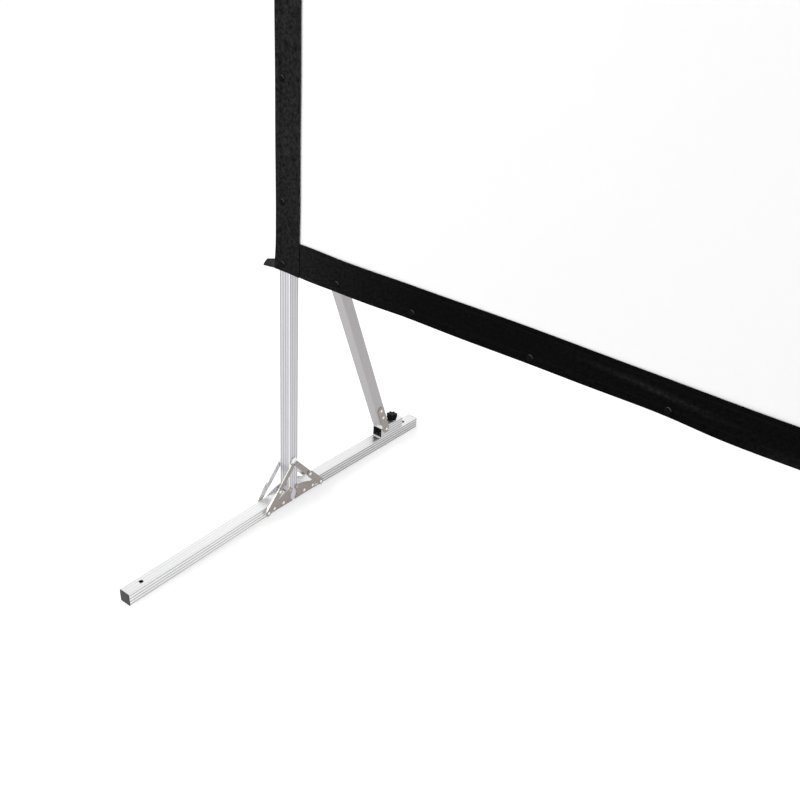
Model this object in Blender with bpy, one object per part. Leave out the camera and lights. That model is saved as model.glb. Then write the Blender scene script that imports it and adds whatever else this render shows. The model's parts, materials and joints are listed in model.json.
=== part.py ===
# Portable outdoor projection screen on two folding T-shaped legs.
#
# A white cloth with a sewn black border snaps onto a frame of fluted square aluminium tube.
# Each side of the frame stands on a leg: the post, two foot halves that fold up against it,
# riveted hinge plates, folding stays and a raking brace with a clamped shoe.
# Metres, +Z up. The origin is on the floor, midway between the feet. -Y faces the audience.

import math

import bmesh
import bpy
from mathutils import Vector

# Screen cloth
IMAGE_WIDTH = 2.66
IMAGE_HEIGHT = 1.496
SIDE_STRIP = 0.0725
LEVEL_STRIP = 0.0785
SIDE_HEM = 0.020
LEVEL_HEM = 0.0176
SEAM = 0.012
CLOTH = 0.0008
FLAP_LENGTH = 0.042
FLAP_HEIGHT = 0.0235
FLAP_SHOULDER = 0.029
SHOULDER_HEIGHT = 0.0155
FLAP_DROP = 0.004
FLAP_TIP = 0.003
SCREEN_CLEARANCE = 0.658

# Snap fasteners
CORNER_STEP = 0.162
SECOND_STEP = 0.209
SIDE_STEP = 0.146
SNAP_PITCH = 0.28
CAP_RADIUS = 0.007
CAP_RISE = 0.0016
STUD_RADIUS = 0.0024
HEM_DRAW = 0.0022
SCALLOP_SHARES = (0.25, 0.5, 0.75)

# Fluted tube
TUBE = 0.032
WALL = 0.0022
FLUTE_DEPTH = 0.0008
FLUTE_MOUTH = 0.0027
FLUTE_FLOOR = 0.0014
TUBE_CHAMFER = 0.0011
FLUTE_SHARES = (-0.375, -0.125, 0.125, 0.375)

# Feet
FOOT_REACH = 0.530
CENTRE_LIFT = 0.0127
FOOT_CLEARANCE = 0.0015
END_CAP = 0.0012
END_PLUG = 0.022
HOLE_INSET = 0.048
HOLE_RADIUS = 0.004

# Hinge plates
PLATE = 0.002
PIVOT_OUT = 0.011
PIVOT_ABOVE = 0.006
PIN_RADIUS = 0.003
LOBE_RADIUS = 0.0075
PLATE_SOLE = 0.0025
HEEL_OUT = 0.0045
RIVET_RISE = 0.014
INNER_RIVET = 0.0387
OUTER_RIVET = 0.0715
TOE_RADIUS = 0.0085
HUMP_OUT = 0.051
HUMP_RISE = 0.042
WAIST_OUT = 0.0175
WAIST_RISE = 0.018
RIVET_RADIUS = 0.004
RIVET_HEAD = 0.0014
PLATE_RIVET_HEAD = 0.0008

# Hinge core
POST_RAISE = 0.0133
CORE_SOLE = 0.002
CORE_PLUG = 0.040
CORE_EDGE = 0.003

# Stays
STRAP = 0.002
LOWER_STRAP = 0.019
UPPER_STRAP = 0.015
FLANGE = 0.0016
FLANGE_INSET = 0.0001
FLANGE_SHARE = 0.7
STAY_OUT = 0.0975
STAY_RIVET_RISE = 0.016
STAY_RISE = 0.066
STAY_APART = 0.0078
KNEE_SHARE = 0.46
KNEE_SAG = 0.0005
SADDLE_RADIUS = 0.008
SADDLE_PEAK = 0.0125
SADDLE_TOP_RADIUS = 0.0095
SADDLE_SEAT = 0.0006
SPACER_RADIUS = 0.007

# Brace
BRACE_TUBE = 0.032
BRACE_WALL = 0.002
BRACE_CORNER = 0.0025
BRACE_HEIGHT = 0.901
BRACE_HEAD = 0.010
BRACE_END = 0.028
BRACE_PIN = 0.004
BRACKET_BASE = 0.0025
BRACKET_HALF = 0.026
BRACKET_SWING = 0.0023
BRACKET_ROUND = 0.011
BRACKET_RIVET = 0.020

# Shoe, links and knob
SHOE_LENGTH = 0.0955
SHOE_INSET = 0.072
SHOE_PIVOT_INSET = 0.0183
SHOE_PIVOT_DROP = 0.0068
LINK_WIDTH = 0.024
LINK_LENGTH = 0.077
LINK_RIVET = 0.0487
KNOB_INSET = 0.064
KNOB_RADIUS = 0.0138
KNOB_LOBE = 0.0019
KNOB_LOBES = 7
KNOB_HEIGHT = 0.0172
KNOB_EDGE = 0.0025
KNOB_HUB = 0.008
KNOB_HUB_RISE = 0.0012
STUD_SCREW = 0.003

# Frame
POST_SPLIT = 1.02
SPIGOT_REACH = 0.080
SPIGOT_ROOT = 0.030
SPIGOT_GRIP = 0.0003
TOP_PLUG = 0.003
LUG = 0.003
LUG_HEIGHT = 0.028
LUG_ON_RAIL = 0.060
LUG_ON_POST = 0.0295
LUG_ROUND = 0.006
BOLT_RADIUS = 0.0055
BOLT_HEAD = 0.004
WELD = 0.0004

# Clearances and how round things are
GAP = 0.0003
RUNNING = 0.0003
OVERRUN = 0.004
RIVET_STEPS = 8
PIN_STEPS = 12
HOLE_STEPS = 16
SNAP_STEPS = 8
STUD_STEPS = 4
KNOB_STEPS = 5
HEX = 6
SHARP = math.radians(35)

# Places that follow from the sizes above
HALF = TUBE / 2
BORE = HALF - WALL
TILT = math.asin(CENTRE_LIFT / FOOT_REACH)
PIVOT_RISE = TUBE + PIVOT_ABOVE
FOOT_INNER = HALF + FOOT_CLEARANCE
POST_X = IMAGE_WIDTH / 2 + SIDE_STRIP - SIDE_HEM
POST_BOTTOM = CENTRE_LIFT + TUBE + POST_RAISE
BOTTOM_RAIL_Z = SCREEN_CLEARANCE + LEVEL_HEM
IMAGE_BOTTOM = SCREEN_CLEARANCE + LEVEL_STRIP
IMAGE_TOP = IMAGE_BOTTOM + IMAGE_HEIGHT
SCREEN_TOP = IMAGE_TOP + LEVEL_STRIP
TOP_RAIL_Z = SCREEN_TOP - LEVEL_HEM
FRAME_TOP = TOP_RAIL_Z + HALF
PLATE_X = HALF + GAP
UPPER_X = PLATE_X + PLATE + PLATE_RIVET_HEAD + GAP
LOWER_X = UPPER_X + STRAP + GAP
STAY_TOP = POST_BOTTOM + STAY_RISE
SHOE_BOTTOM = TUBE + GAP
SHOE_TOP = SHOE_BOTTOM + TUBE
SHOE_OUT = FOOT_REACH - SHOE_INSET - SHOE_LENGTH
SHOE_PIVOT_OUT = SHOE_OUT + SHOE_PIVOT_INSET
SHOE_PIVOT_RISE = SHOE_TOP - SHOE_PIVOT_DROP
KNOB_OUT = SHOE_OUT + KNOB_INSET
BRACE_OFFSET = (HALF + GAP + BRACKET_BASE + BRACKET_SWING
                + math.hypot(BRACE_HEAD, BRACE_TUBE / 2))
STUD_LIFT = CLOTH + 3 * GAP
SHEET_BACK = HALF + STUD_LIFT
LEVEL_BACK = SHEET_BACK + CLOTH + GAP
SIDE_BACK = LEVEL_BACK + CLOTH + GAP

# An outline's two axes, then the axis that it is swept along
ALONG_X = "yzx"
ALONG_Y = "xzy"
ALONG_Z = "xyz"


def clear_scene():
    for item in list(bpy.data.objects):
        bpy.data.objects.remove(item, do_unlink=True)


def finish(name, colour, roughness, metallic):
    """A plain material with the part's colour."""
    material = bpy.data.materials.new(name)
    material.use_nodes = True
    shader = material.node_tree.nodes["Principled BSDF"]
    shader.inputs["Base Color"].default_value = (*colour, 1)
    shader.inputs["Roughness"].default_value = roughness
    shader.inputs["Metallic"].default_value = metallic
    return material


def empty_at(name, location, parent=None):
    """An empty on a joint's axis."""
    item = bpy.data.objects.new(name, None)
    bpy.context.scene.collection.objects.link(item)
    item.location = location
    if parent:
        attach(item, parent)
    return item


def attach(item, parent):
    """Hangs an object on its joint's empty and leaves it where it is."""
    bpy.context.view_layer.update()
    item.parent = parent
    item.matrix_parent_inverse = parent.matrix_world.inverted()


def solid(name, shape, material, parent, location=(0, 0, 0), rotation=(0, 0, 0)):
    """Makes the shape a named object with its own copy of the material."""
    bmesh.ops.recalc_face_normals(shape, faces=shape.faces)
    mesh = bpy.data.meshes.new(name)
    shape.to_mesh(mesh)
    shape.free()
    mesh.shade_smooth()
    mesh.set_sharp_from_angle(angle=SHARP)
    item = bpy.data.objects.new(name, mesh)
    bpy.context.scene.collection.objects.link(item)
    own = material.copy()
    own.name = name
    mesh.materials.append(own)
    item.location = location
    item.rotation_euler = rotation
    attach(item, parent)
    return item


def combine(target, shape, operation):
    """Cuts the shape from the target, or fuses it on, with a hidden helper object."""
    bmesh.ops.recalc_face_normals(shape, faces=shape.faces)
    name = target.name + "_" + operation.lower()
    mesh = bpy.data.meshes.new(name)
    shape.to_mesh(mesh)
    shape.free()
    helper = bpy.data.objects.new(name, mesh)
    bpy.context.scene.collection.objects.link(helper)
    helper.location = target.location
    helper.rotation_euler = target.rotation_euler
    attach(helper, target.parent)
    helper.hide_render = True
    helper.display_type = "WIRE"
    modifier = target.modifiers.new(name, "BOOLEAN")
    modifier.operation = operation
    modifier.solver = "EXACT"
    modifier.object = helper


def in_space(first, second, level, axes):
    along = dict(zip(axes, (first, second, level)))
    return Vector((along["x"], along["y"], along["z"]))


def add_walls(shape, low_ring, high_ring):
    for i, corner in enumerate(low_ring):
        after = (i + 1) % len(low_ring)
        shape.faces.new((corner, low_ring[after], high_ring[after], high_ring[i]))


def add_prism(shape, outline, low, high, axes):
    """The outline swept from low to high, with both ends closed."""
    rings = [[shape.verts.new(in_space(a, b, level, axes)) for a, b in outline]
             for level in (low, high)]
    add_walls(shape, *rings)
    for ring in rings:
        shape.faces.new(ring)


def add_tube(shape, outer, inner, low, high, axes):
    """A hollow section swept from low to high, open at both ends."""
    loops = []
    for outline in (outer, inner):
        rings = [[shape.verts.new(in_space(a, b, level, axes)) for a, b in outline]
                 for level in (low, high)]
        add_walls(shape, *rings)
        loops.append(rings)
    for end in (0, 1):
        edges = []
        for rings in loops:
            ring = rings[end]
            for i, corner in enumerate(ring):
                edges.append(shape.edges.get((corner, ring[(i + 1) % len(ring)])))
        bmesh.ops.triangle_fill(shape, edges=edges, use_beauty=True)


def add_turned(shape, profile, centre, axes, steps, facing=1):
    """A turned shape: (radius, height) pairs from one pole to the other, around a line."""
    rings = []
    for radius, height in profile:
        level = centre[2] + facing * height
        if radius == 0:
            rings.append([shape.verts.new(in_space(centre[0], centre[1], level, axes))])
            continue
        ring = []
        for i in range(steps):
            turn = 2 * math.pi * (i + 0.5) / steps
            first = centre[0] + radius * math.cos(turn)
            second = centre[1] + radius * math.sin(turn)
            ring.append(shape.verts.new(in_space(first, second, level, axes)))
        rings.append(ring)
    for one, other in zip(rings, rings[1:]):
        if len(one) == 1 or len(other) == 1:
            pole, ring = (one[0], other) if len(one) == 1 else (other[0], one)
            for i, corner in enumerate(ring):
                shape.faces.new((corner, ring[(i + 1) % len(ring)], pole))
        else:
            add_walls(shape, one, other)


def add_rod(shape, centre, radius, low, high, axes, steps):
    """A round rod between two levels."""
    profile = ((0, low), (radius, low), (radius, high), (0, high))
    add_turned(shape, profile, (centre[0], centre[1], 0), axes, steps)


def add_head(shape, centre, radius, rise, root, axes, facing, steps=RIVET_STEPS):
    """A low rivet or snap head that stands on centre and is rooted below it."""
    profile = ((0, -root), (radius, -root), (radius * 3 / 4, rise), (0, rise))
    add_turned(shape, profile, centre, axes, steps, facing)


def arc(centre, radius, start, end, steps):
    """Points on an arc, both ends included. Angles are in degrees."""
    points = []
    for i in range(steps + 1):
        turn = math.radians(start + (end - start) * i / steps)
        points.append((centre[0] + radius * math.cos(turn), centre[1] + radius * math.sin(turn)))
    return points


def bend(start, pull, end, steps):
    """Inner points of a quadratic curve from start to end, drawn towards pull."""
    points = []
    for i in range(1, steps):
        t = i / steps
        points.append(tuple((1 - t) ** 2 * a + 2 * t * (1 - t) * b + t ** 2 * c
                            for a, b, c in zip(start, pull, end)))
    return points


def scalloped(places, level, draw):
    """A hem that is held at each place and drawn in by the cloth between them."""
    points = []
    for start, end in zip(places, places[1:]):
        points.append((start, level))
        for share in SCALLOP_SHARES:
            points.append((start + (end - start) * share, level + draw * 4 * share * (1 - share)))
    return points + [(places[-1], level)]


def stadium(length, width, steps=6):
    """A strap with round ends: its end centres are at 0 and at length, up the second axis."""
    return arc((0, length), width / 2, 0, 180, steps) + arc((0, 0), width / 2, 180, 360, steps)


def square(half, corner=0.0, steps=1):
    """A square outline, with corners cut or rounded."""
    if corner == 0:
        return [(half, -half), (half, half), (-half, half), (-half, -half)]
    points = []
    for quarter, (a, b) in enumerate(((1, -1), (1, 1), (-1, 1), (-1, -1))):
        centre = (a * (half - corner), b * (half - corner))
        start = 90 * quarter - 90
        points += arc(centre, corner, start, start + 90, steps)
    return points


def fluted_square():
    """The tube's outer outline: four flutes down each face, and cut corners."""
    points = []
    for quarter in range(4):
        turn = quarter * math.pi / 2
        face = [(HALF, -HALF + TUBE_CHAMFER)]
        for share in FLUTE_SHARES:
            middle = share * TUBE
            face.append((HALF, middle - FLUTE_MOUTH / 2))
            face.append((HALF - FLUTE_DEPTH, middle - FLUTE_FLOOR / 2))
            face.append((HALF - FLUTE_DEPTH, middle + FLUTE_FLOOR / 2))
            face.append((HALF, middle + FLUTE_MOUTH / 2))
        face.append((HALF, HALF - TUBE_CHAMFER))
        for a, b in face:
            points.append((a * math.cos(turn) - b * math.sin(turn),
                           a * math.sin(turn) + b * math.cos(turn)))
    return points


def moved(outline, first, second):
    return [(a + first, b + second) for a, b in outline]


def fluted_tube(low, high, axes, centre=(0, 0)):
    shape = bmesh.new()
    add_tube(shape, moved(fluted_square(), *centre), moved(square(BORE), *centre), low, high, axes)
    return shape


def snap_places(span, first_steps):
    """Distances of the snaps along a rail: close together near the corners, then even."""
    near = []
    reach = 0.0
    for step in first_steps:
        reach += step
        near.append(reach)
    middle = span - 2 * reach
    count = max(1, round(middle / SNAP_PITCH))
    even = [reach + middle * i / count for i in range(1, count)]
    return near + even + [span - distance for distance in reversed(near)]


LEVEL_SNAPS = [x - POST_X for x in snap_places(2 * POST_X, (CORNER_STEP, SECOND_STEP))]
SIDE_SNAPS = [z + BOTTOM_RAIL_Z for z in snap_places(TOP_RAIL_Z - BOTTOM_RAIL_Z, (SIDE_STEP,))]


def foot_point(end, out, rise):
    """(y, z) of a place on a foot half. end is -1 for the front half and 1 for the rear one."""
    return (end * (out * math.cos(TILT) + rise * math.sin(TILT)),
            CENTRE_LIFT + rise * math.cos(TILT) - out * math.sin(TILT))


def foot_turn(end):
    """Rotation that lays a shape drawn towards -Y along a foot half."""
    return (TILT, 0, 0) if end < 0 else (TILT, 0, math.pi)


def plate_outline():
    """A hinge plate, drawn towards -Y: sole, round toe, hump, pivot lobe and hollow waist."""
    toe = arc((OUTER_RIVET, RIVET_RISE), TOE_RADIUS, -90, 50, 5)
    lobe = arc((PIVOT_OUT, PIVOT_RISE), LOBE_RADIUS, 80, 230, 5)
    heel = (HEEL_OUT, PLATE_SOLE)
    points = [heel] + toe
    points += bend(toe[-1], (HUMP_OUT, HUMP_RISE), lobe[0], 5) + lobe
    points += bend(lobe[-1], (WAIST_OUT, WAIST_RISE), heel, 5)
    return [(-out, rise) for out, rise in points]


def build_foot(leg, x, end, fold, metal, steel, plastic):
    """One foot half: its tube with the stays' spacers, its end cap and its two hinge plates."""
    half_name = "front" if end < 0 else "rear"
    place = {"location": (x, 0, CENTRE_LIFT), "rotation": foot_turn(end)}
    tube_end = FOOT_REACH - END_CAP - GAP
    shape = fluted_tube(-tube_end, -FOOT_INNER, ALONG_Y, (0, HALF))
    tube = solid(f"{leg}_{half_name}_foot_tube", shape, metal, fold, **place)
    cut = bmesh.new()
    hole = (0, HOLE_INSET - FOOT_REACH)
    add_rod(cut, hole, HOLE_RADIUS, TUBE - WALL - OVERRUN, TUBE + OVERRUN, ALONG_Z, HOLE_STEPS)
    combine(tube, cut, "DIFFERENCE")
    spacers = bmesh.new()
    for side in (-1, 1):
        add_rod(spacers, (-STAY_OUT, STAY_RIVET_RISE), SPACER_RADIUS, side * (HALF - FLUTE_DEPTH - WELD),
                side * (LOWER_X - GAP), ALONG_X, RIVET_STEPS)
    combine(tube, spacers, "UNION")

    shape = bmesh.new()
    add_prism(shape, moved(fluted_square(), 0, HALF), -FOOT_REACH, -FOOT_REACH + END_CAP, ALONG_Y)
    cap = solid(f"{leg}_{half_name}_end_cap", shape, plastic, fold, **place)
    plug = bmesh.new()
    add_prism(plug, moved(square(BORE - GAP), 0, HALF), -FOOT_REACH + END_CAP - WELD,
              -FOOT_REACH + END_CAP + END_PLUG, ALONG_Y)
    combine(cap, plug, "UNION")

    for side in (-1, 1):
        build_plate(leg, x, end, side, fold, steel, place)


def build_plate(leg, x, end, side, fold, steel, place):
    """A hinge plate on one side of a foot half, with its two rivets."""
    half_name = "front" if end < 0 else "rear"
    drawn_side = side if end < 0 else -side
    inner, outer = drawn_side * PLATE_X, drawn_side * (PLATE_X + PLATE)
    shape = bmesh.new()
    add_prism(shape, plate_outline(), inner, outer, ALONG_X)
    name = f"{leg}_{half_name}_hinge_plate_{side_name(leg, side)}"
    plate = solid(name, shape, steel, fold, **place)
    cut = bmesh.new()
    add_rod(cut, (-PIVOT_OUT, PIVOT_RISE), PIN_RADIUS + RUNNING, inner - drawn_side * OVERRUN,
            outer + drawn_side * OVERRUN, ALONG_X, PIN_STEPS)
    combine(plate, cut, "DIFFERENCE")
    heads = bmesh.new()
    for out in (INNER_RIVET, OUTER_RIVET):
        add_head(heads, (-out, RIVET_RISE, outer), RIVET_RADIUS, PLATE_RIVET_HEAD, PLATE / 2,
                 ALONG_X, drawn_side)
    combine(plate, heads, "UNION")


def side_name(leg, side):
    outer_side = -1 if leg == "left" else 1
    return "outer" if side == outer_side else "inner"


def build_core(leg, x, root, metal):
    """The block between the foot halves: a plug in the post, and the two hinge pins."""
    shape = bmesh.new()
    add_prism(shape, square(HALF, CORE_EDGE, 3), CENTRE_LIFT + CORE_SOLE, POST_BOTTOM - GAP, ALONG_Z)
    core = solid(f"{leg}_hinge_core", shape, metal, root, location=(x, 0, 0))
    more = bmesh.new()
    add_prism(more, square(BORE - GAP), POST_BOTTOM - GAP - WELD, POST_BOTTOM + CORE_PLUG, ALONG_Z)
    face = PLATE_X + PLATE
    for end in (-1, 1):
        centre = foot_point(end, PIVOT_OUT, PIVOT_RISE)
        add_rod(more, centre, PIN_RADIUS, -face, face, ALONG_X, PIN_STEPS)
    combine(core, more, "UNION")


def strap_turn(start, end):
    """Turn about X that points +Z from start to end, both (y, z)."""
    return math.atan2(start[0] - end[0], end[1] - start[1])


def stay_points(end):
    """(y, z) of a stay's foot rivet, its knee and its pivot on the post."""
    foot = Vector(foot_point(end, STAY_OUT, STAY_RIVET_RISE))
    post = Vector((end * STAY_APART, STAY_TOP))
    along = (post - foot).normalized()
    inward = Vector((along.y, -along.x)) if end < 0 else Vector((-along.y, along.x))
    knee = foot + (post - foot) * KNEE_SHARE + inward * KNEE_SAG
    return foot, knee, post


def build_stays(leg, x, end, fold, root, steel):
    """Two folding stays, one on each side: a flanged lower strap and a narrower flat upper one.

    The lower strap's flange stiffens it. It is as deep as the gap to the foot tube at its lower
    end and runs out before the knee, clear of the upper strap.
    """
    half_name = "front" if end < 0 else "rear"
    foot, knee, post = stay_points(end)
    lower_joint = empty_at(f"{leg}_{half_name}_lower_stay_pivot", (x, *foot), fold)
    upper_joint = empty_at(f"{leg}_{half_name}_upper_stay_pivot", (x, *post), root)
    for side in (-1, 1):
        inner, outer = side * LOWER_X, side * (LOWER_X + STRAP)
        shape = bmesh.new()
        length = (knee - foot).length
        add_prism(shape, stadium(length, LOWER_STRAP), inner, outer, ALONG_X)
        lower = solid(f"{leg}_{half_name}_lower_stay_{side_name(leg, side)}", shape, steel, lower_joint,
                      location=(x, *foot), rotation=(strap_turn(foot, knee), 0, 0))
        edge = end * (LOWER_STRAP / 2 - FLANGE_INSET)
        middle, reach = (inner + outer) / 2, length * FLANGE_SHARE
        flange = bmesh.new()
        add_prism(flange, [(side * PLATE_X, 0), (middle, 0), (middle, reach), (inner, reach)],
                  edge - end * FLANGE, edge, ALONG_Y)
        combine(lower, flange, "UNION")
        heads = bmesh.new()
        for height in (0, length):
            add_head(heads, (0, height, outer), RIVET_RADIUS, RIVET_HEAD, STRAP / 2, ALONG_X, side)
        combine(lower, heads, "UNION")

        inner, outer = side * UPPER_X, side * (UPPER_X + STRAP)
        shape = bmesh.new()
        add_prism(shape, stadium((knee - post).length, UPPER_STRAP), inner, outer, ALONG_X)
        upper = solid(f"{leg}_{half_name}_upper_stay_{side_name(leg, side)}", shape, steel, upper_joint,
                      location=(x, *post), rotation=(strap_turn(post, knee), 0, 0))
        heads = bmesh.new()
        add_head(heads, (0, 0, outer), RIVET_RADIUS, RIVET_HEAD, STRAP / 2, ALONG_X, side)
        combine(upper, heads, "UNION")


def saddle_outline():
    """The stays' saddle on the post: two lobes that carry the pivots, and a raised one above."""
    points = arc((0, STAY_TOP + SADDLE_PEAK), SADDLE_TOP_RADIUS, 26, 154, 6)
    points += arc((-STAY_APART, STAY_TOP), SADDLE_RADIUS, 154, 270, 4)
    return points + arc((STAY_APART, STAY_TOP), SADDLE_RADIUS, 270, 386, 4)


def build_post(leg, x, root, metal):
    """The leg's post: fluted tube, the saddles of the stays, snap studs and a spigot on top."""
    shape = fluted_tube(POST_BOTTOM, POST_SPLIT, ALONG_Z)
    post = solid(f"{leg}_leg_post", shape, metal, root, location=(x, 0, 0))
    more = bmesh.new()
    for side in (-1, 1):
        face = side * (UPPER_X - GAP)
        add_prism(more, saddle_outline(), side * (HALF - FLUTE_DEPTH - SADDLE_SEAT), face, ALONG_X)
    for z in [BOTTOM_RAIL_Z] + SIDE_SNAPS:
        if z < POST_SPLIT - STUD_RADIUS:
            back = LEVEL_BACK if z == BOTTOM_RAIL_Z else SIDE_BACK
            add_rod(more, (0, z), STUD_RADIUS, GAP - back, -HALF + FLUTE_DEPTH + WELD,
                    ALONG_Y, STUD_STEPS)
    add_prism(more, square(BORE + SPIGOT_GRIP), POST_SPLIT - SPIGOT_ROOT, POST_SPLIT - GAP, ALONG_Z)
    combine(post, more, "UNION")
    spigot = bmesh.new()
    add_prism(spigot, square(BORE - GAP), POST_SPLIT - SPIGOT_ROOT / 2, POST_SPLIT + SPIGOT_REACH, ALONG_Z)
    combine(post, spigot, "UNION")


def build_side_rail(leg, x, root, metal, plastic):
    """The upper part of the frame's side, on the post's spigot, and the plug in its top."""
    shape = fluted_tube(POST_SPLIT + GAP, FRAME_TOP, ALONG_Z)
    rail = solid(f"{leg}_side_rail", shape, metal, root, location=(x, 0, 0))
    studs = bmesh.new()
    for z in SIDE_SNAPS + [TOP_RAIL_Z]:
        if z > POST_SPLIT + STUD_RADIUS:
            back = LEVEL_BACK if z == TOP_RAIL_Z else SIDE_BACK
            add_rod(studs, (0, z), STUD_RADIUS, GAP - back, -HALF + FLUTE_DEPTH + WELD,
                    ALONG_Y, STUD_STEPS)
    combine(rail, studs, "UNION")
    shape = bmesh.new()
    add_prism(shape, square(HALF, TUBE_CHAMFER), FRAME_TOP + GAP, FRAME_TOP + GAP + TOP_PLUG, ALONG_Z)
    plug = solid(f"{leg}_top_plug", shape, plastic, root, location=(x, 0, 0))
    more = bmesh.new()
    add_prism(more, square(BORE - GAP), FRAME_TOP - END_PLUG, FRAME_TOP + GAP + WELD, ALONG_Z)
    combine(plug, more, "UNION")


def build_level_rail(name, z, root, metal):
    """A level rail between the posts, with a bolted lug behind each corner."""
    end = POST_X - HALF - GAP
    rail = solid(name, fluted_tube(-end, end, ALONG_X, (0, z)), metal, root)
    lugs, pads = bmesh.new(), bmesh.new()
    back = HALF + GAP
    for side in (-1, 1):
        tip, heel = POST_X - HALF + LUG_ON_POST, end - LUG_ON_RAIL
        half = LUG_HEIGHT / 2
        outline = [(side * heel, z - half), (side * heel, z + half)]
        rounded = arc((tip - LUG_ROUND, z + half - LUG_ROUND), LUG_ROUND, 90, 0, 3)
        rounded += arc((tip - LUG_ROUND, z - half + LUG_ROUND), LUG_ROUND, 0, -90, 3)
        outline += [(side * a, b) for a, b in rounded]
        add_prism(lugs, outline, back, back + LUG, ALONG_Y)
        pad = [(side * a, z + b) for a, b in ((heel, -half), (heel, half), (end, half), (end, -half))]
        add_prism(pads, pad, HALF - FLUTE_DEPTH - WELD, back + LUG / 2, ALONG_Y)
    combine(rail, pads, "UNION")
    combine(rail, lugs, "UNION")
    heads = bmesh.new()
    for side in (-1, 1):
        for x in (POST_X, end - LUG_ON_RAIL / 4, end - LUG_ON_RAIL * 3 / 4):
            add_rod(heads, (side * x, z), BOLT_RADIUS, back + LUG - WELD, back + LUG + BOLT_HEAD,
                    ALONG_Y, HEX)
    for x in LEVEL_SNAPS:
        add_rod(heads, (x, z), STUD_RADIUS, GAP - LEVEL_BACK, -HALF + FLUTE_DEPTH + WELD,
                ALONG_Y, STUD_STEPS)
    combine(rail, heads, "UNION")


def build_brace(leg, x, root, metal, steel):
    """The raking brace, its bracket on the post, its links, and the joints that they turn on."""
    foot = Vector(foot_point(1, SHOE_PIVOT_OUT, SHOE_PIVOT_RISE))
    top = Vector((BRACE_OFFSET, BRACE_HEIGHT))
    length = (foot - top).length
    place = {"location": (x, *top), "rotation": (strap_turn(foot, top), 0, 0)}
    joint = empty_at(f"{leg}_brace_hinge", (x, *top), root)
    side_face = BRACE_TUBE / 2 + GAP

    shape = bmesh.new()
    add_tube(shape, square(BRACE_TUBE / 2, BRACE_CORNER, 3), square(BRACE_TUBE / 2 - BRACE_WALL),
             BRACE_END - length, BRACE_HEAD, ALONG_Z)
    brace = solid(f"{leg}_brace_tube", shape, metal, joint, **place)
    cut = bmesh.new()
    add_rod(cut, (0, 0), BRACE_PIN + RUNNING, -BRACE_TUBE, BRACE_TUBE, ALONG_X, PIN_STEPS)
    combine(brace, cut, "DIFFERENCE")

    bracket_inner = max(side_face, PLATE_X)
    ear = arc((BRACE_OFFSET, BRACE_HEIGHT), BRACKET_ROUND, 90, -90, 8)
    base = HALF + GAP
    ear = [(base, BRACE_HEIGHT - BRACKET_HALF), (base, BRACE_HEIGHT + BRACKET_HALF)] + ear
    shape = bmesh.new()
    half_width = bracket_inner + PLATE
    outline = [(base, -half_width), (base + BRACKET_BASE, -half_width),
               (base + BRACKET_BASE, half_width), (base, half_width)]
    add_prism(shape, [(b, a) for a, b in outline], BRACE_HEIGHT - BRACKET_HALF,
              BRACE_HEIGHT + BRACKET_HALF, ALONG_Z)
    bracket = solid(f"{leg}_brace_bracket", shape, steel, root, location=(x, 0, 0))
    more = bmesh.new()
    for side in (-1, 1):
        add_prism(more, ear, side * bracket_inner, side * half_width, ALONG_X)
    combine(bracket, more, "UNION")
    heads = bmesh.new()
    add_rod(heads, (BRACE_OFFSET, BRACE_HEIGHT), BRACE_PIN, -half_width - RIVET_HEAD,
            half_width + RIVET_HEAD, ALONG_X, PIN_STEPS)
    for z in (-BRACKET_RIVET, BRACKET_RIVET):
        add_head(heads, (0, BRACE_HEIGHT + z, base + BRACKET_BASE), RIVET_RADIUS, RIVET_HEAD,
                 BRACKET_BASE / 2, ALONG_Y, 1)
    combine(bracket, heads, "UNION")

    for side in (-1, 1):
        inner, outer = side * side_face, side * (side_face + PLATE)
        shape = bmesh.new()
        add_prism(shape, moved(stadium(LINK_LENGTH, LINK_WIDTH, steps=5), 0, -length), inner, outer, ALONG_X)
        link = solid(f"{leg}_brace_link_{side_name(leg, side)}", shape, steel, joint, **place)
        heads = bmesh.new()
        for height in (0, LINK_RIVET, LINK_LENGTH):
            add_head(heads, (0, height - length, outer), RIVET_RADIUS, RIVET_HEAD, PLATE / 2,
                     ALONG_X, side)
        combine(link, heads, "UNION")
    return empty_at(f"{leg}_shoe_pivot", (x, *foot), joint)


def knob_ring(grow):
    """The knob's lobed outline, drawn in or out by grow."""
    points = []
    steps = KNOB_LOBES * KNOB_STEPS
    for i in range(steps):
        turn = 2 * math.pi * i / steps
        radius = KNOB_RADIUS + KNOB_LOBE * math.cos(KNOB_LOBES * turn) + grow
        points.append((radius * math.cos(turn), radius * math.sin(turn)))
    return points


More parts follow.
